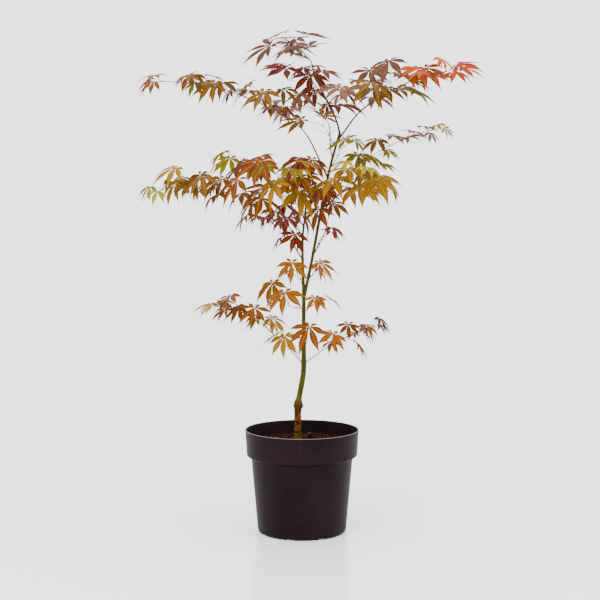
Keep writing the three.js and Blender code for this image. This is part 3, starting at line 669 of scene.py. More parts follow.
def lattice_noise(seed, u, v, around, along):
    """Smooth noise from -1 to 1 on a lattice that closes round u: eased mixes of random corner values."""
    values = np.random.default_rng(seed).uniform(-1, 1, (around, along + 2))
    x, y = np.mod(u, 1) * around, np.clip(v, 0, 1) * along
    i, j = np.floor(x).astype(int) % around, np.floor(y).astype(int)
    return mixed(values, i, (i + 1) % around, j, ease(0, 1, x - np.floor(x)), ease(0, 1, y - j))


def field_noise(seed, x, y, size):
    """Smooth noise from -1 to 1 over the plane: eased mixes of random values on a square lattice."""
    values = np.random.default_rng(seed).uniform(-1, 1, (FIELD, FIELD))
    u, v = x / size + FIELD_SHIFT, y / size + FIELD_SHIFT
    i, j = np.floor(u).astype(int), np.floor(v).astype(int)
    a, b = ease(0, 1, u - i), ease(0, 1, v - j)
    i, j = i % (FIELD - 1), j % (FIELD - 1)
    return mixed(values, i, i + 1, j, a, b)


def spokes(along, left, sides):
    """Directions left cos a + above sin a, spread evenly about a heading. Above is square to it and left."""
    above = np.cross(along, left)
    angle = np.arange(sides) / sides * 2 * np.pi
    return left[..., None, :] * np.cos(angle)[:, None] + above[..., None, :] * np.sin(angle)[:, None]


def carried(line, places, radius):
    """Rings about a line: its point plus radius times spokes, with left square to the line's chord."""
    span = line.at(1.0) - line.at(0.0)
    along = line.along(places)
    sideways = np.array([-span[1], span[0], 0.0])
    left = unit(sideways - along * (along @ sideways)[:, None])
    return line.at(places)[:, None] + spokes(along, left, radius.shape[1]) * radius[..., None]


def limb_shell(line, radii, seed, sides, step, relief, nodes=(), collar=0.0):
    """A limb that tapers between two radii, in rings a step apart, with the relief of its bark.

    The radius is the taper plus a swelling at each node, plus a collar where it leaves its parent, all times
    1 plus coarse and fine noise. The tip closes on a small dome.
    """
    length = line.length()
    places = np.linspace(0, 1, max(LEAST_ROWS, int(length / step)))
    run = places * length
    radius = radii[0] + (radii[1] - radii[0]) * places
    for node in nodes:
        radius = radius + swelling(run, node, LIMB_NODE[0], LIMB_NODE[1] * radius)
    radius = radius + collar * np.exp(-run / COLLAR_SPAN)
    u, v = np.meshgrid(np.arange(sides) / sides, places)
    rough = 1.0
    for number, (around, spacing, fewest) in enumerate(LIMB_NOISE):
        noise = lattice_noise(seed + number, u, v, around, max(fewest, int(length / spacing)))
        rough = rough + relief[number] * noise
    radius = radius[:, None] * rough
    dome = line.at(1.0) + line.along(1.0) * radius[-1].mean() * TIP_ROUND
    return shells(carried(line, places, radius)[None], np.stack([line.at(0.0), dome])[None])


def trunk_shell(line):
    """The trunk: rings of bark below the graft, a lumpy knot, and smooth green stem with leaf nodes above.

    Each ring of bark and each node is a rounded swelling, and noise roughens wood, knot and stem apart.
    """
    places = np.linspace(0, 1, TRUNK_ROWS)
    u, v = np.meshgrid(np.arange(TRUNK_SIDES) / TRUNK_SIDES, places)
    z = TRUNK_FOOT + (TRUNK_TOP - TRUNK_FOOT) * v
    stem = ease(*BARK_ENDS, z)
    where = dict(wood=1 - stem, knot=swelling(z, GRAFT[0], KNOT_SPAN, 1), stem=stem)
    radius = trunk_radius(v)
    for ring, lift in BARK_RINGS:
        waver = RING_WAVER[0] * lattice_noise(ring, u, v, *RING_WAVER[1:])
        radius = radius + swelling(z + waver, ring, RING_SPAN, lift)
    for node in STEM_NODES:
        radius = radius + swelling(z, node, *NODE_RIDGE)
        radius = radius - swelling(z, node + NODE_WAIST[0], *NODE_WAIST[1:])
    for part, seed, depth, around, along in TRUNK_NOISE:
        radius = radius + where[part] * depth * lattice_noise(seed, u, v, around, along)
    rows = carried(line, places, radius)
    return shells(rows[None], np.stack([line.at(0.0), line.at(1.0) + UP])[None])


def lobe_outline(s):
    """Half width along a lobe, 0 to 1: sin(pi s^skew)^power, drawn out to a thread past its middle."""
    full = np.sin(np.pi * np.clip(s, 0, 1) ** OUTLINE_SKEW) ** OUTLINE_POWER
    return full * (1 - TIP_THINS[1] * ease(TIP_THINS[0], 1, s))


def lobe_rows(teeth):
    """Places along a lobe, with how far the edge goes out there for its teeth, and the pucker's sign."""
    s = np.concatenate([BASE_ROWS, np.linspace(*TEETH_SPAN, 2 * teeth), TIP_ROWS])
    wave = np.zeros((2, len(s)))
    wave[:, len(BASE_ROWS):-len(TIP_ROWS)] = np.tile([[TOOTH_IN, TOOTH_OUT], [-1, 1]], teeth)
    return s, *wave


def lobe_section(half, pucker, outline):
    """Across and up for the points round a lobe's section: top, then underside.

    Across is w times the half width. Up is the fold and the pucker over it, plus or minus half the blade's
    thickness, less the rib underneath.
    """
    w = np.concatenate([ACROSS, ACROSS[-2:0:-1]])
    inner = len(ACROSS) - 2
    face = np.concatenate([[0], np.ones(inner), [0], -np.ones(inner)])
    rib, side = np.abs(w) == RIB_EDGE, np.abs(w) == PUCKER_LINE
    thin = np.minimum(1, BLADE_THINS[1] * outline + BLADE_THINS[0])[:, None]
    lift = FOLD * np.abs(w) * half[..., None] + PUCKER * half[..., None] * pucker[:, None] * side
    return half[..., None] * w, lift + thin * (0.5 * BLADE_THICK * face - RIB * rib * (face < 0))


def vein_faces(depth, sides):
    """Which faces of a lobe are vein: those along its rib, above and below, and those round the heart."""
    vein = np.zeros(sides * (depth + 1), int)
    ribs = (len(ACROSS) // 2 - 1, len(ACROSS) + len(ACROSS) // 2 - 2)
    vein[sides:-sides].reshape(depth - 1, sides)[:, ribs] = 1
    vein[: sides * HEART_ROWS] = 1
    return vein


def leaf_shells(leaves, teeth, seed):
    """Leaves as closed lobes, each a ring of top and underside carried out along its drooping arc.

    A point is hub + reach u + height n, with u the lobe's heading in the blade and n the blade's normal, then
    across and up its section, which stands square to the arc and turns about it by the lobe's twist.
    """
    def of_leaves(key):
        return np.array([leaf[key] for leaf in leaves])

    rng = np.random.default_rng(seed)
    azimuth, length = np.array(LOBES + BASAL_LOBES, float).T
    shape = (len(leaves), len(azimuth))
    turn = np.radians(azimuth + rng.normal(0, LOBE_JITTER["azimuth"], shape))
    length = length * (1 + LOBE_JITTER["length"] * rng.uniform(-1, 1, shape))
    bend = np.radians(of_leaves("bend"))[:, None] * (1 + LOBE_JITTER["bend"] * rng.uniform(-1, 1, shape))
    twist = np.radians(LOBE_JITTER["twist"]) * rng.uniform(-1, 1, shape)
    size = of_leaves("size")[:, None]
    s, tooth, pucker = lobe_rows(teeth)
    reach, height, slope = arc(size[..., None], bend[..., None], length[..., None], s)
    half = LOBE_HALF_WIDTH * size[..., None] * np.sqrt(length)[..., None] * lobe_outline(s) * (1 + tooth)
    web_ends = ease(WEB[1] * size[..., None], WEB[2] * size[..., None], reach)
    half = np.maximum(half, WEB[0] * reach * (1 - web_ends))
    across, lift = lobe_section(half, pucker, lobe_outline(s))
    spin = (twist[..., None] * s)[..., None]
    across, lift = across * np.cos(spin) - lift * np.sin(spin), across * np.sin(spin) + lift * np.cos(spin)
    out = reach[..., None] - lift * np.sin(slope)[..., None]
    up = height[..., None] + lift * np.cos(slope)[..., None]
    c, d = np.cos(turn)[..., None, None], np.sin(turn)[..., None, None]
    forward, right, normal, hub = (of_leaves(key)[:, None, None, None]
                                   for key in ("forward", "right", "normal", "hub"))
    points = hub + (out * c - across * d)[..., None] * forward + (out * d + across * c)[..., None] * right
    points = points + up[..., None] * normal
    reach, height, _ = arc(size, bend, length, 1.0)
    forward, right, normal, hub = (axis[:, 0, 0] for axis in (forward, right, normal, hub))
    tips = hub + (reach * np.cos(turn))[..., None] * forward + (reach * np.sin(turn))[..., None] * right
    tips = tips + height[..., None] * normal
    poles = np.stack([np.broadcast_to(hub, tips.shape), tips], 2)
    depth, sides = points.shape[2:4]
    vein = vein_faces(depth, sides)
    finish = (2 * of_leaves("finish")[:, None, None] + vein).repeat(len(azimuth), 1)
    return shells(points.reshape(-1, depth, sides, 3), poles.reshape(-1, 2, 3), finish.reshape(-1, len(vein)))


def stalk_shells(leaves):
    """Leaf stalks: a tapering tube from foot to hub, arched by 4 t (1 - t), with a swollen foot."""
    foot, hub = (np.array([leaf[key] for leaf in leaves]) for key in ("foot", "hub"))
    span = hub - foot
    length = np.linalg.norm(span, axis=1)[:, None]
    t = np.linspace(0, 1, STALK_ROWS) ** STALK_CROWD
    arch = STALK_ARCH * length * 4 * t * (1 - t)
    centre = foot[:, None] + span[:, None] * t[:, None] + arch[..., None] * UP
    along = unit(span[:, None] + (STALK_ARCH * length * 4 * (1 - 2 * t))[..., None] * UP)
    size = np.array([leaf["size"] for leaf in leaves])[:, None]
    fixed, growing, common = STALK_GROWS
    radius = (STALK_RADII[0] + (STALK_RADII[1] - STALK_RADII[0]) * t) * (fixed + growing * size / common)
    radius = radius + STALK_FOOT[0] * np.exp(-t * length / STALK_FOOT[1])
    out = spokes(along, unit(np.cross(UP, along)), STALK_SIDES)
    return shells(centre[:, :, None] + out * radius[..., None, None], np.stack([foot, hub], 1))


def bud_shells(points, headings):
    """Small pointed buds: radius sin(pi s)^power (1 - s/2) along a short heading."""
    s = np.linspace(*BUD["rows"])
    radius = BUD["radius"] * np.sin(np.pi * s) ** BUD["power"] * (1 - s / 2)
    out = spokes(headings, unit(np.cross(headings, UP + 0.01)), BUD["sides"])
    centre = points[:, None] + headings[:, None] * (BUD["length"] * s)[:, None]
    rows = centre[:, :, None] + out[:, None] * radius[:, None, None]
    return shells(rows, np.stack([points, points + headings * BUD["length"]], 1))


def twig_parts(masses, lines):
    """Every stem, side twig and sprig as a tube with swellings at its nodes, and the buds at the nodes."""
    parts, points, headings = [], [], []
    tips = {name: radii[1] for name, *_, radii in LIMBS}
    tips["trunk"] = float(trunk_radius(np.array(1.0)))
    for number, one in enumerate(masses):
        root = STEM_ROOT if one.rule["leave"] else tips[one.rule["limb"]] - STEM_STEP_IN
        places = sorted({leaf["place"] for leaf in one.leaves})
        nodes = [place * one.stem.length() for place in places]
        parts.append(limb_shell(one.stem, (root, STEM_TIP), STEM_SEED + number, nodes=nodes, **STEM_SKIN))
        for twig in one.twigs:
            radii = np.array(TWIG_RADII) * (SPRIG_THIN if twig["fine"] else 1)
            parts.append(limb_shell(twig["line"], radii, TWIG_SEED + number, **TWIG_SKIN))
        for place in [*places, 1.0]:
            along = one.stem.along(place)
            left, above = sides_of(along)
            for hand in (-1, 1):
                out = left * hand * (TIP_BUD_OUT if place == 1 else BUD_OUT)
                headings.append(unit(along + out + above * BUD_UP))
                points.append(one.stem.at(place))
    parts.append(bud_shells(np.array(points), np.array(headings)))
    return parts


def straight(start, end, first, last, count):
    """Points on the straight line from start to end, evenly spread from one place on it to another."""
    start, end = np.array(start, float), np.array(end, float)
    return start + (end - start) * np.linspace(first, last, count)[:, None]


def round_of(centre, radius, first, last, count):
    """Points on a circle, evenly spread from one quarter turn to another."""
    turn = np.linspace(first, last, count) * np.pi / 2
    return np.array(centre) + radius * np.stack([np.cos(turn), np.sin(turn)], -1)


def pot_profile():
    """The pot's section from the middle of its underside over the lip, and from there to its floor.

    Each stretch ends with the places of its first and last point, and with how many points it has.
    """
    (collar_r, collar_z), (body_r, body_z) = COLLAR_FOOT, BODY_TOP
    start = collar_z + COLLAR_START
    base = BASE_RADIUS - BASE_CORNER
    outside = np.vstack([
        [(r, 0) for r in FOOT_RINGS],
        round_of((base, BASE_CORNER), BASE_CORNER, -1, 0, 9),
        straight((BASE_RADIUS, BASE_CORNER), BODY_TOP, 0.04, 0.985, 26),
        round_of((body_r + HIP, body_z - HIP), HIP, 2, 1, 7)[1:],
        round_of((collar_r - SHOULDER["back"], collar_z + SHOULDER["up"]), SHOULDER["round"], -1, 0, 7),
        straight((collar_r, start), (RIM_RADIUS, POT_HEIGHT - 1), 0.04, 0.97, 14),
        round_of((RIM_RADIUS - LIP, POT_HEIGHT - LIP), LIP, 0, 2, 9),
        straight((RIM_RADIUS - WALL, POT_HEIGHT - 2), (collar_r - WALL, start), 0.03, 1, 12)])
    inside = np.vstack([
        straight((body_r - WALL, body_z), (BASE_RADIUS - WALL, BASE_CORNER), 0, 1, 8),
        [(r, FLOOR) for r in (base + FLOOR, *FLOOR_RINGS)]])
    return outside, inside


def pot_shell():
    """The pot turned about Z from its profile, the corner at its base lifted into drain notches."""
    outside, inside = pot_profile()
    radius, z = np.vstack([outside, inside]).T
    angle = np.arange(POT_COLUMNS) / POT_COLUMNS * 2 * np.pi
    turn = np.degrees(angle) - NOTCH["turn"]
    pitch = 360 / NOTCH["count"]
    off = np.abs(np.mod(turn + pitch / 2, pitch) - pitch / 2)
    cut = off < math.degrees(NOTCH["width"] / 2 / NOTCH["radius"])
    near, far = NOTCH["radius"] - NOTCH["depth"] / 2, NOTCH["radius"] + NOTCH["depth"] / 2
    cut = cut & ((radius >= near) & (radius < far))[:, None]
    ceiling = NOTCH["height"] + NOTCH_SKIN * np.repeat([0, 1], [len(outside), len(inside)])[:, None]
    height = np.where(cut, np.maximum(z[:, None], ceiling), z[:, None] + 0 * angle)
    rows = np.stack([radius[:, None] * np.cos(angle), radius[:, None] * np.sin(angle), height], -1)
    return shells(rows[None], np.array([[[0, 0, 0], [0, 0, FLOOR]]], float))


def heap(reach):
    """How far the soil rises at a distance from the middle: a smooth step."""
    return SOIL_HEAP[2] * ease(*SOIL_HEAP[:2], reach)


def soil_shell():
    """The soil: a turned body, its top heaped away from the trunk and roughened by three sizes of noise."""
    angle = np.arange(SOIL_COLUMNS) / SOIL_COLUMNS * 2 * np.pi
    inset, lift = np.array(SOIL_SIDE).T
    reach = SOIL_RADIUS * np.linspace(1, 0.01, SOIL_ROWS)
    radius = np.concatenate([SOIL_RADIUS - inset, reach])[:, None]
    z = np.concatenate([SOIL_UNDER + lift, SOIL_TOP - SOIL_SINK + heap(reach)])[:, None]
    x, y = radius * np.cos(angle), radius * np.sin(angle)
    rough = sum(height * field_noise(seed, x, y, size) for seed, size, height in SOIL_NOISE)
    inside = np.concatenate([0 * inset, ease(0, SOIL_EDGE, 1 - reach / SOIL_RADIUS)])[:, None]
    rows = np.stack([x, y, z + inside * rough], -1)
    return shells(rows[None], np.array([[[0, 0, SOIL_UNDER], [0, 0, SOIL_TOP - SOIL_SINK]]]))


def chip_shells():
    """Chips of bark on the soil: five-sided slivers with uneven ends, lying at random turns and tilts."""
    rng = np.random.default_rng(CHIP_SEED)
    reach = (SOIL_RADIUS - CHIP_ROOM["wall"]) * np.sqrt(rng.uniform(0.002, 1, CHIPS))
    turn = rng.uniform(0, 2 * np.pi, CHIPS)
    centre = np.stack([reach * np.cos(turn), reach * np.sin(turn)], -1)
    clear = np.hypot(centre[:, 0] - TRUNK_FOOT_X, centre[:, 1]) > CHIP_ROOM["trunk"]
    clear &= np.hypot(centre[:, 0] - STUMP["x"], centre[:, 1] - STUMP["y"]) > CHIP_ROOM["cane"]
    centre = centre[clear]
    count = len(centre)
    length, wide, deep = (rng.uniform(*CHIP[key], count) for key in ("length", "wide", "deep"))
    yaw, tilt = rng.uniform(0, 2 * np.pi, count), rng.normal(0, CHIP["tilt"], count)
    lift = SOIL_TOP - CHIP["sink"] + rng.uniform(*CHIP["lie"], count) + heap(np.hypot(*centre.T))
    along = np.stack([np.cos(yaw) * np.cos(tilt), np.sin(yaw) * np.cos(tilt), np.sin(tilt)], -1)
    left = unit(np.cross(UP, along) + UP * rng.normal(0, CHIP["roll"], (count, 1)))
    above = unit(np.cross(along, left))
    left = np.cross(above, along)
    angle = np.arange(CHIP["sides"]) / CHIP["sides"] * 2 * np.pi
    size = rng.uniform(*CHIP["uneven"], (count, len(CHIP["rows"]), CHIP["sides"]))
    out = left[:, None, None] * (np.cos(angle) * size * wide[:, None, None] / 2)[..., None]
    out = out + above[:, None, None] * (np.sin(angle) * size * deep[:, None, None] / 2)[..., None]
    middle = np.concatenate([centre, lift[:, None]], 1)
    spine, poles = (middle[:, None] + along[:, None] * (np.array(CHIP[key]) * length[:, None])[..., None]
                    for key in ("rows", "ends"))
    finish = rng.choice(len(CHIP_TINTS), (count, 1), p=CHIP_SHARES)
    return shells(spine[:, :, None] + out, poles, finish)


def stump_shell():
    """The cut cane: a short, slightly wavy tube, cut on a slant, whose top is dished down to its pith."""
    angle = np.arange(CANE_SIDES) / CANE_SIDES * 2 * np.pi
    radius, z = np.array(CANE_PROFILE).T[..., None] * [[[STUMP["radius"]]], [[STUMP["height"]]]]
    wave = 1
    for count, depth, start in CANE_WAVES:
        wave = wave + depth * np.sin(count * angle + start)
    across, back = radius * wave * np.cos(angle), radius * wave * np.sin(angle)
    slant = CANE_SLANT[0] * across * np.clip(z / STUMP["height"], 0, 1) ** CANE_SLANT[1]
    rows = np.stack([STUMP["x"] + across, STUMP["y"] + back, SOIL_TOP + z + slant], -1)
    ends = [(STUMP["x"], STUMP["y"], SOIL_TOP + STUMP["height"] * end) for end in CANE_ENDS]
    return shells(rows[None], np.array([ends]))


# ---------------------------------------------------------------- finishes

def shade(colour):
    """Colour numbers from 0 to 255 as the eye has them, as linear light."""
    c = np.array(colour, float) / 255
    linear = np.where(c <= 0.04045, c / 12.92, ((c + 0.055) / 1.055) ** 2.4)
    return (*(COLOUR_GAIN * linear**COLOUR_POWER), 1.0)


def operator(operation, swapped=False):
    """A method of Wire that does a sum with another wire or a number, which comes first where swapped."""
    def method(self, other):
        values = (other, self) if swapped else (self, other)
        return self.finish.node("Math", dict(enumerate(values)), operation=operation)

    return method


class Wire:
    """A number's socket in a shader, so that sums are written as Python's own."""

    def __init__(self, finish, socket):
        self.finish, self.socket = finish, socket

    __add__, __radd__ = operator("ADD"), operator("ADD", True)
    __sub__, __rsub__ = operator("SUBTRACT"), operator("SUBTRACT", True)
    __mul__, __rmul__ = operator("MULTIPLY"), operator("MULTIPLY", True)
    __pow__ = operator("POWER")

    def clip(self):
        """Held between 0 and 1."""
        return self.finish.node("Clamp", {"Value": self})

    def step(self, low, high):
        """A smooth step of this value from 0 at low to 1 at high."""
        values = {"Value": self, "From Min": low, "From Max": high}
        return self.finish.node("MapRange", values, interpolation_type="SMOOTHSTEP")


class Finish:
    """A material with one Principled shader. Constants go on its sockets, and patterns are linked to them."""

    def __init__(self, name, colour, roughness, **constants):
        self.material = bpy.data.materials.new(name)
        self.material.use_nodes = True
        self.tree = self.material.node_tree
        self.shader = self.tree.nodes["Principled BSDF"]
        self.material.diffuse_color = shade(colour)
        self.set("Base Color", shade(colour))
        self.set("Roughness", roughness)
        for key, value in constants.items():
            self.set(key.replace("_", " "), value)

    def node(self, kind, values, out=0, **settings):
        """Adds a node with its settings and its sockets' values or wires, and gives one of its outputs."""
        node = self.tree.nodes.new("ShaderNode" + kind)
        for key, value in settings.items():
            setattr(node, key, value)
        for key, value in values.items():
            self._give(node.inputs[key], value)
        return Wire(self, node.outputs[out])

    def _give(self, socket, value):
        """A wire is linked to a socket, and a plain value is set on it."""
        if isinstance(value, Wire):
            self.tree.links.new(value.socket, socket)
        else:
            socket.default_value = value

    def set(self, socket, value):
        """Gives a socket of the shader its value or wire."""
        self._give(self.shader.inputs[socket], value)

    def place(self):
        """The point's own place in the object, as a vector and as its x, y and z."""
        spot = self.node("TexCoord", {}, "Object")
        x = self.node("SeparateXYZ", {"Vector": spot}, "X")
        y, z = (Wire(self, x.socket.node.outputs[key]) for key in "YZ")
        return spot, x, y, z

    def noise(self, spot, scale, detail=3, roughness=0.55, stretch=None):
        """Smooth noise from 0 to 1, its lattice stretched where stretch is given."""
        if stretch:
            spot = self.node("Mapping", {"Vector": spot, "Scale": stretch})
        values = {"Vector": spot, "Scale": scale, "Detail": detail, "Roughness": roughness}
        return self.node("TexNoise", values, "Fac")

    def blend(self, factor, a, b):
        """A colour part of the way from a to b, each of them a wire or a tint."""
        a, b = (end if isinstance(end, Wire) else shade(end) for end in (a, b))
        return self.node("Mix", {0: factor, 6: a, 7: b}, 2, data_type="RGBA")

    def relief(self, height, distance, strength=1.0):
        """Ends a finish: bumps of a height, in metres, on the shader's Normal alone."""
        bump = self.node("Bump", {"Height": height, "Distance": distance, "Strength": strength})
        self.set("Normal", bump)
        return self.material


def leaf_finish(name, colour, gloss):
    """A leaf or vein of one plain colour: satin, with a roughness that wanders and fine relief."""
    finish = Finish(name, colour, gloss, Specular_IOR_Level=0.06)
    spot = finish.place()[0]
    wander = finish.noise(spot, 90, 2)
    finish.set("Roughness", gloss - 0.1 + 0.22 * wander)
    grain = finish.noise(spot, 1500, 3) + 0.6 * finish.noise(spot, 420, 2)
    return finish.relief(grain, 0.00025, 0.6)


def twig_finish():
    """Young twigs and stalks: one plain reddish brown, satin, with fine grain."""
    finish = Finish("young_twig", (122, 70, 40), 0.5, Specular_IOR_Level=0.15)
    spot = finish.place()[0]
    finish.set("Roughness", 0.4 + 0.25 * finish.noise(spot, 200, 2))
    return finish.relief(finish.noise(spot, 900, 3), 0.0002, 0.6)


def bark_finish():
    """Bark by height: olive then tan wood with dark rings, a brown knot, green stem, reddish young wood."""
    finish = Finish("maple_bark", (96, 88, 30), 0.55, Specular_IOR_Level=0.08)
    spot, _, _, z = finish.place()
    broad = finish.noise(spot, 60, 3)
    streak = finish.noise(spot, 160, 4, 0.6, (1, 1, 0.22))
    ring = finish.noise(spot, 210, 3, 0.6, (0.18, 0.18, 1))
    speck = finish.noise(spot, 620, 3)
    foot = finish.blend(streak.step(0.35, 0.66), (92, 70, 24), (144, 116, 52))
    tan = finish.blend(streak.step(0.35, 0.66), (112, 68, 28), (160, 106, 52))
    knot = finish.blend(speck.step(0.4, 0.62), (92, 62, 22), (136, 104, 44))
    green = finish.blend(streak.step(0.3, 0.7), (90, 92, 0), (130, 128, 4))
    green = finish.blend(speck.step(0.62, 0.72) * 0.5, green, (160, 150, 84))
    young = finish.blend(streak.step(0.3, 0.7), (82, 46, 34), (128, 86, 44))
    young = finish.blend(broad.step(0.45, 0.7), young, (104, 92, 34))
    ragged = z + 0.01 * (broad - 0.5)
    in_tan, in_knot, in_green, in_young = (
        ragged.step(low * MM, high * MM) for low, high in (TAN_FROM, KNOT_FROM, GREEN_FROM, YOUNG_FROM))
    wood = finish.blend(in_tan, foot, tan)
    wood = finish.blend(ring.step(0.52, 0.66) * 0.85, wood, (70, 42, 18))
    wood = finish.blend(in_knot, wood, knot)
    colour = finish.blend(in_green, wood, green)
    colour = finish.blend(in_young, colour, young)
    finish.set("Base Color", colour)
    rough = 1 - in_green
    finish.set("Roughness", 0.42 + 0.3 * rough + 0.15 * speck)
    return finish.relief(streak * (0.4 + rough) + ring * rough + speck * 0.4, 0.0006, 0.7)


def pot_finish():
    """Dark moulded plastic: near black brown, faint flow streaks and dust, fine grain, and a painted
    highlight along the lip.
    """
    finish = Finish("moulded_plastic", (46, 35, 38), 0.5, Specular_IOR_Level=0.07)
    spot, _, _, z = finish.place()
    cloud = finish.noise(spot, 14, 3)
    streak = finish.noise(spot, 70, 3, 0.5, (1, 1, 0.12))
    dust = finish.noise(spot, 260, 4, 0.7)
    colour = finish.blend(cloud.step(0.3, 0.7), (45, 27, 32), (62, 39, 45))
    colour = finish.blend(streak.step(0.55, 0.75) * 0.35, colour, (70, 52, 54))
    low = 1 - z.step(0.0, 0.03)
    colour = finish.blend((dust.step(0.56, 0.7) * (0.12 + 0.25 * low)).clip(), colour, (108, 86, 78))
    # Painted highlight: a pale, near-white band along the top of the lip stands in for the light that the
    # rim's edge catches.
    lip_highlight = z.step(*((POT_HEIGHT - depth) * MM for depth in PAINTED_LIP_HIGHLIGHT))
    colour = finish.blend(lip_highlight * (0.55 + 0.4 * cloud), colour, (190, 180, 176))
    finish.set("Base Color", colour)
    finish.set("Roughness", 0.4 + 0.14 * cloud + 0.12 * dust)
    return finish.relief(finish.noise(spot, 1100, 2) + 0.8 * streak, 0.00012, 0.5)


def soil_finish():
    """Damp bark compost: dark, with reddish crumbs and pale fibres."""
    finish = Finish("bark_compost", (50, 28, 22), 0.9, Specular_IOR_Level=0.1)
    spot = finish.place()[0]
    crumb = finish.noise(spot, 240, 4, 0.65)
    fleck = finish.noise(spot, 700, 3, 0.6)
    colour = finish.blend(crumb.step(0.35, 0.65), (26, 16, 15), (66, 34, 24))
    colour = finish.blend(fleck.step(0.68, 0.76) * 0.7, colour, (128, 74, 46))
    finish.set("Base Color", colour)
    finish.set("Roughness", 0.8 + 0.2 * fleck)
    return finish.relief(crumb + 0.5 * fleck, 0.0018, 0.9)


def chip_finish(name, colour):
    """A chip of bark: one plain brown with a fibrous grain."""
    finish = Finish(name, colour, 0.8, Specular_IOR_Level=0.1)
    spot = finish.place()[0]
    finish.set("Roughness", 0.7 + 0.25 * finish.noise(spot, 300, 2))
    return finish.relief(finish.noise(spot, 800, 4, 0.65), 0.0007, 0.8)


def stump_finish():
    """Cut cane: dark skin, a pale cut edge, and dark again about the pith."""
    finish = Finish("cut_cane", (48, 32, 22), 0.85, Specular_IOR_Level=0.06)
    spot, x, y, z = finish.place()
    across, back = (x - STUMP["x"] * MM) * (1 / MM), (y - STUMP["y"] * MM) * (1 / MM)
    out = (across * across + back * back) ** 0.5
    grain = finish.noise(spot, 500, 3, 0.6, (1, 1, 0.3))
    skin = finish.blend(grain.step(0.3, 0.7), (28, 18, 15), (52, 36, 24))
    edge = z.step(*((SOIL_TOP + share * STUMP["height"]) * MM for share in CANE_EDGE))
    skin = finish.blend(edge, skin, (134, 104, 54))
    finish.set("Base Color", finish.blend(out.step(*CANE_PITH), (34, 20, 15), skin))
    return finish.relief(grain, 0.0006, 0.8)


def floor_finish():
    """A pale, slightly glossy studio floor."""
    finish = Finish("studio_floor", (243, 243, 243), 0.2, Specular_IOR_Level=0.5)
    finish.set("Base Color", (0.9, 0.9, 0.9, 1))
    spot = finish.place()[0]
    finish.set("Roughness", 0.16 + 0.06 * finish.noise(spot, 3, 2))
    return finish.material


# ---------------------------------------------------------------- the plant, the pot and the studio

def nodes_of(masses):
    """The CAD nodes of some masses."""
    return ["foliage_" + one.rule["name"] for one in masses]


def dress_limbs(lines):
    """The bark of the trunk, of the leader, and of all boughs in one piece."""
    bark = bark_finish()
    make_piece("trunk_bark", [trunk_shell(lines["trunk"])], [bark], ["trunk"])
    skins = {}
    for number, (name, *_, radii) in enumerate(LIMBS):
        line, skin = lines[name], LEADER_SKIN if name == "right_leader" else BOUGH_SKIN
        nodes = np.arange(1, int(line.length() / NODE_STEP) + 1) * NODE_STEP - NODE_BACK
        seed, collar = LIMB_SEED + 3 * number, LIMB_COLLAR * radii[0]
        skins[name] = limb_shell(line, radii, seed, nodes=nodes, collar=collar, **skin)
    make_piece("leader_bark", [skins.pop("right_leader")], [bark], ["right_leader"])
    make_piece("boughs_bark", list(skins.values()), [bark], list(skins))


def dress_leaves(masses):
    """The leaves in pieces by colour, each leaf's blade in its tint and its ribs in the vein's."""
    tints = list(TINTS)
    finishes = {}
    for tint, (blade, vein) in TINTS.items():
        finishes[tint] = [leaf_finish("leaf_" + tint, blade, BLADE_GLOSS),
                          leaf_finish("vein_" + tint, vein, VEIN_GLOSS)]
    for number, (slot, names) in enumerate(LEAF_GROUPS.items()):
        group = [one for one in masses if one.rule["name"] in names.split()]
        for part, chosen in enumerate(share_out(group)):
            mine = [leaf for one in chosen for leaf in one.leaves]
            used = sorted({leaf["tint"] for leaf in mine}, key=tints.index)
            for leaf in mine:
                leaf["finish"] = used.index(leaf["tint"])
            materials = [finish for tint in used for finish in finishes[tint]]
            seed = LEAF_SEED + 10 * number + part
            parts = [leaf_shells([leaf for leaf in mine if not leaf["fine"]], TEETH, seed)]
            young = [leaf for leaf in mine if leaf["fine"]]
            if young:
                parts.append(leaf_shells(young, SPRIG_TEETH, seed + 5))
            make_piece(f"{slot}_{part + 1}", parts, materials, nodes_of(chosen), sharp=50)


def dress_plant():
    """Bark, twigs and leaves, each kind in its own pieces, in place of the plain solids."""
    lines, masses = grow_plant()
    dress_limbs(lines)
    stalks = stalk_shells([leaf for one in masses for leaf in one.leaves])
    twigs = [*twig_parts(masses, lines), stalks]
    make_piece("twigs", twigs, [twig_finish()], nodes_of(masses))
    deal_tints(masses)
    dress_leaves(masses)


def share_out(group):
    """Masses dealt into pieces of under PIECE_LEAVES leaves."""
    shares, count = [[]], 0
    for one in group:
        if count + len(one.leaves) > PIECE_LEAVES:
            shares.append([])
            count = 0
        shares[-1].append(one)
        count += len(one.leaves)
    return shares


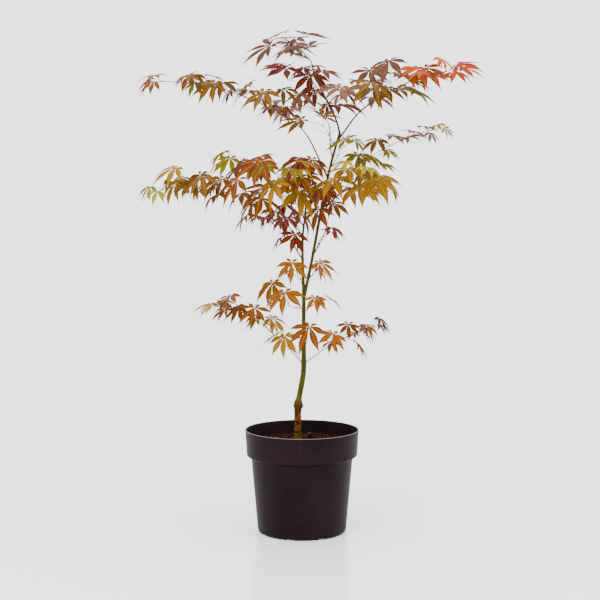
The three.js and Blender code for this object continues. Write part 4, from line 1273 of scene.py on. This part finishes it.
def deal_tints(masses):
    """Each leaf takes its mass's tint for its place on the stem, and some take the next one."""
    for one in masses:
        tints = one.rule["tints"]
        draw = seeded(one.rule["seed"] + TINT_SEED)
        for leaf in one.leaves:
            at = leaf["place"] * (len(tints) - 1) + draw(-TINT_SHIFT, TINT_SHIFT)
            leaf["tint"] = tints[int(np.clip(round(at), 0, len(tints) - 1))]


def dress_pot():
    """The pot, the soil with its chips, and the cut cane."""
    make_piece("pot_shell", [pot_shell()], [pot_finish()], ["pot"], sharp=40)
    make_piece("soil_bed", [soil_shell()], [soil_finish()], ["soil"], sharp=80)
    chips = [chip_finish(f"bark_chip_{k + 1}", tint) for k, tint in enumerate(CHIP_TINTS)]
    make_piece("soil_chips", [chip_shells()], chips, ["soil"], sharp=30)
    make_piece("cane_stump", [stump_shell()], [stump_finish()], ["soil"], sharp=50)


def lamp(name, size, power, place, aim):
    """A soft square lamp that points at a place."""
    light = bpy.data.lights.new(name, "AREA")
    light.size, light.energy = size, power
    obj = bpy.data.objects.new(name, light)
    obj.location = place
    x, y, z = np.array(aim) - np.array(place)
    obj.rotation_euler = (math.atan2(math.hypot(x, y), -z), 0, math.atan2(x, -y) + math.pi)
    bpy.context.scene.collection.objects.link(obj)


def studio():
    """A pale floor, a white room's light, soft lamps and the camera."""
    scene = bpy.context.scene
    angle = np.arange(FLOOR_SIDES) / FLOOR_SIDES * 2 * np.pi
    disc = FLOOR_REACH * np.stack([np.cos(angle), np.sin(angle), 0 * angle], -1)
    mesh = bpy.data.meshes.new("floor")
    mesh.from_pydata(disc.tolist(), [], [list(range(FLOOR_SIDES))])
    mesh.materials.append(floor_finish())
    floor = bpy.data.objects.new("floor", mesh)
    scene.collection.objects.link(floor)
    world = bpy.data.worlds.new("studio")
    world.use_nodes = True
    world.node_tree.nodes["Background"].inputs["Color"].default_value = (1, 1, 1, 1)
    world.node_tree.nodes["Background"].inputs["Strength"].default_value = WORLD_LIGHT
    scene.world = world
    for values in LAMPS:
        lamp(*values)
    camera = bpy.data.cameras.new("camera")
    camera.sensor_width, camera.lens = SENSOR, LENS
    view = bpy.data.objects.new("camera", camera)
    view.location = CAMERA_PLACE
    view.rotation_euler = (math.radians(90 - CAMERA_DIP), 0, 0)
    scene.collection.objects.link(view)
    scene.camera = view


studio()
dress_pot()
dress_plant()
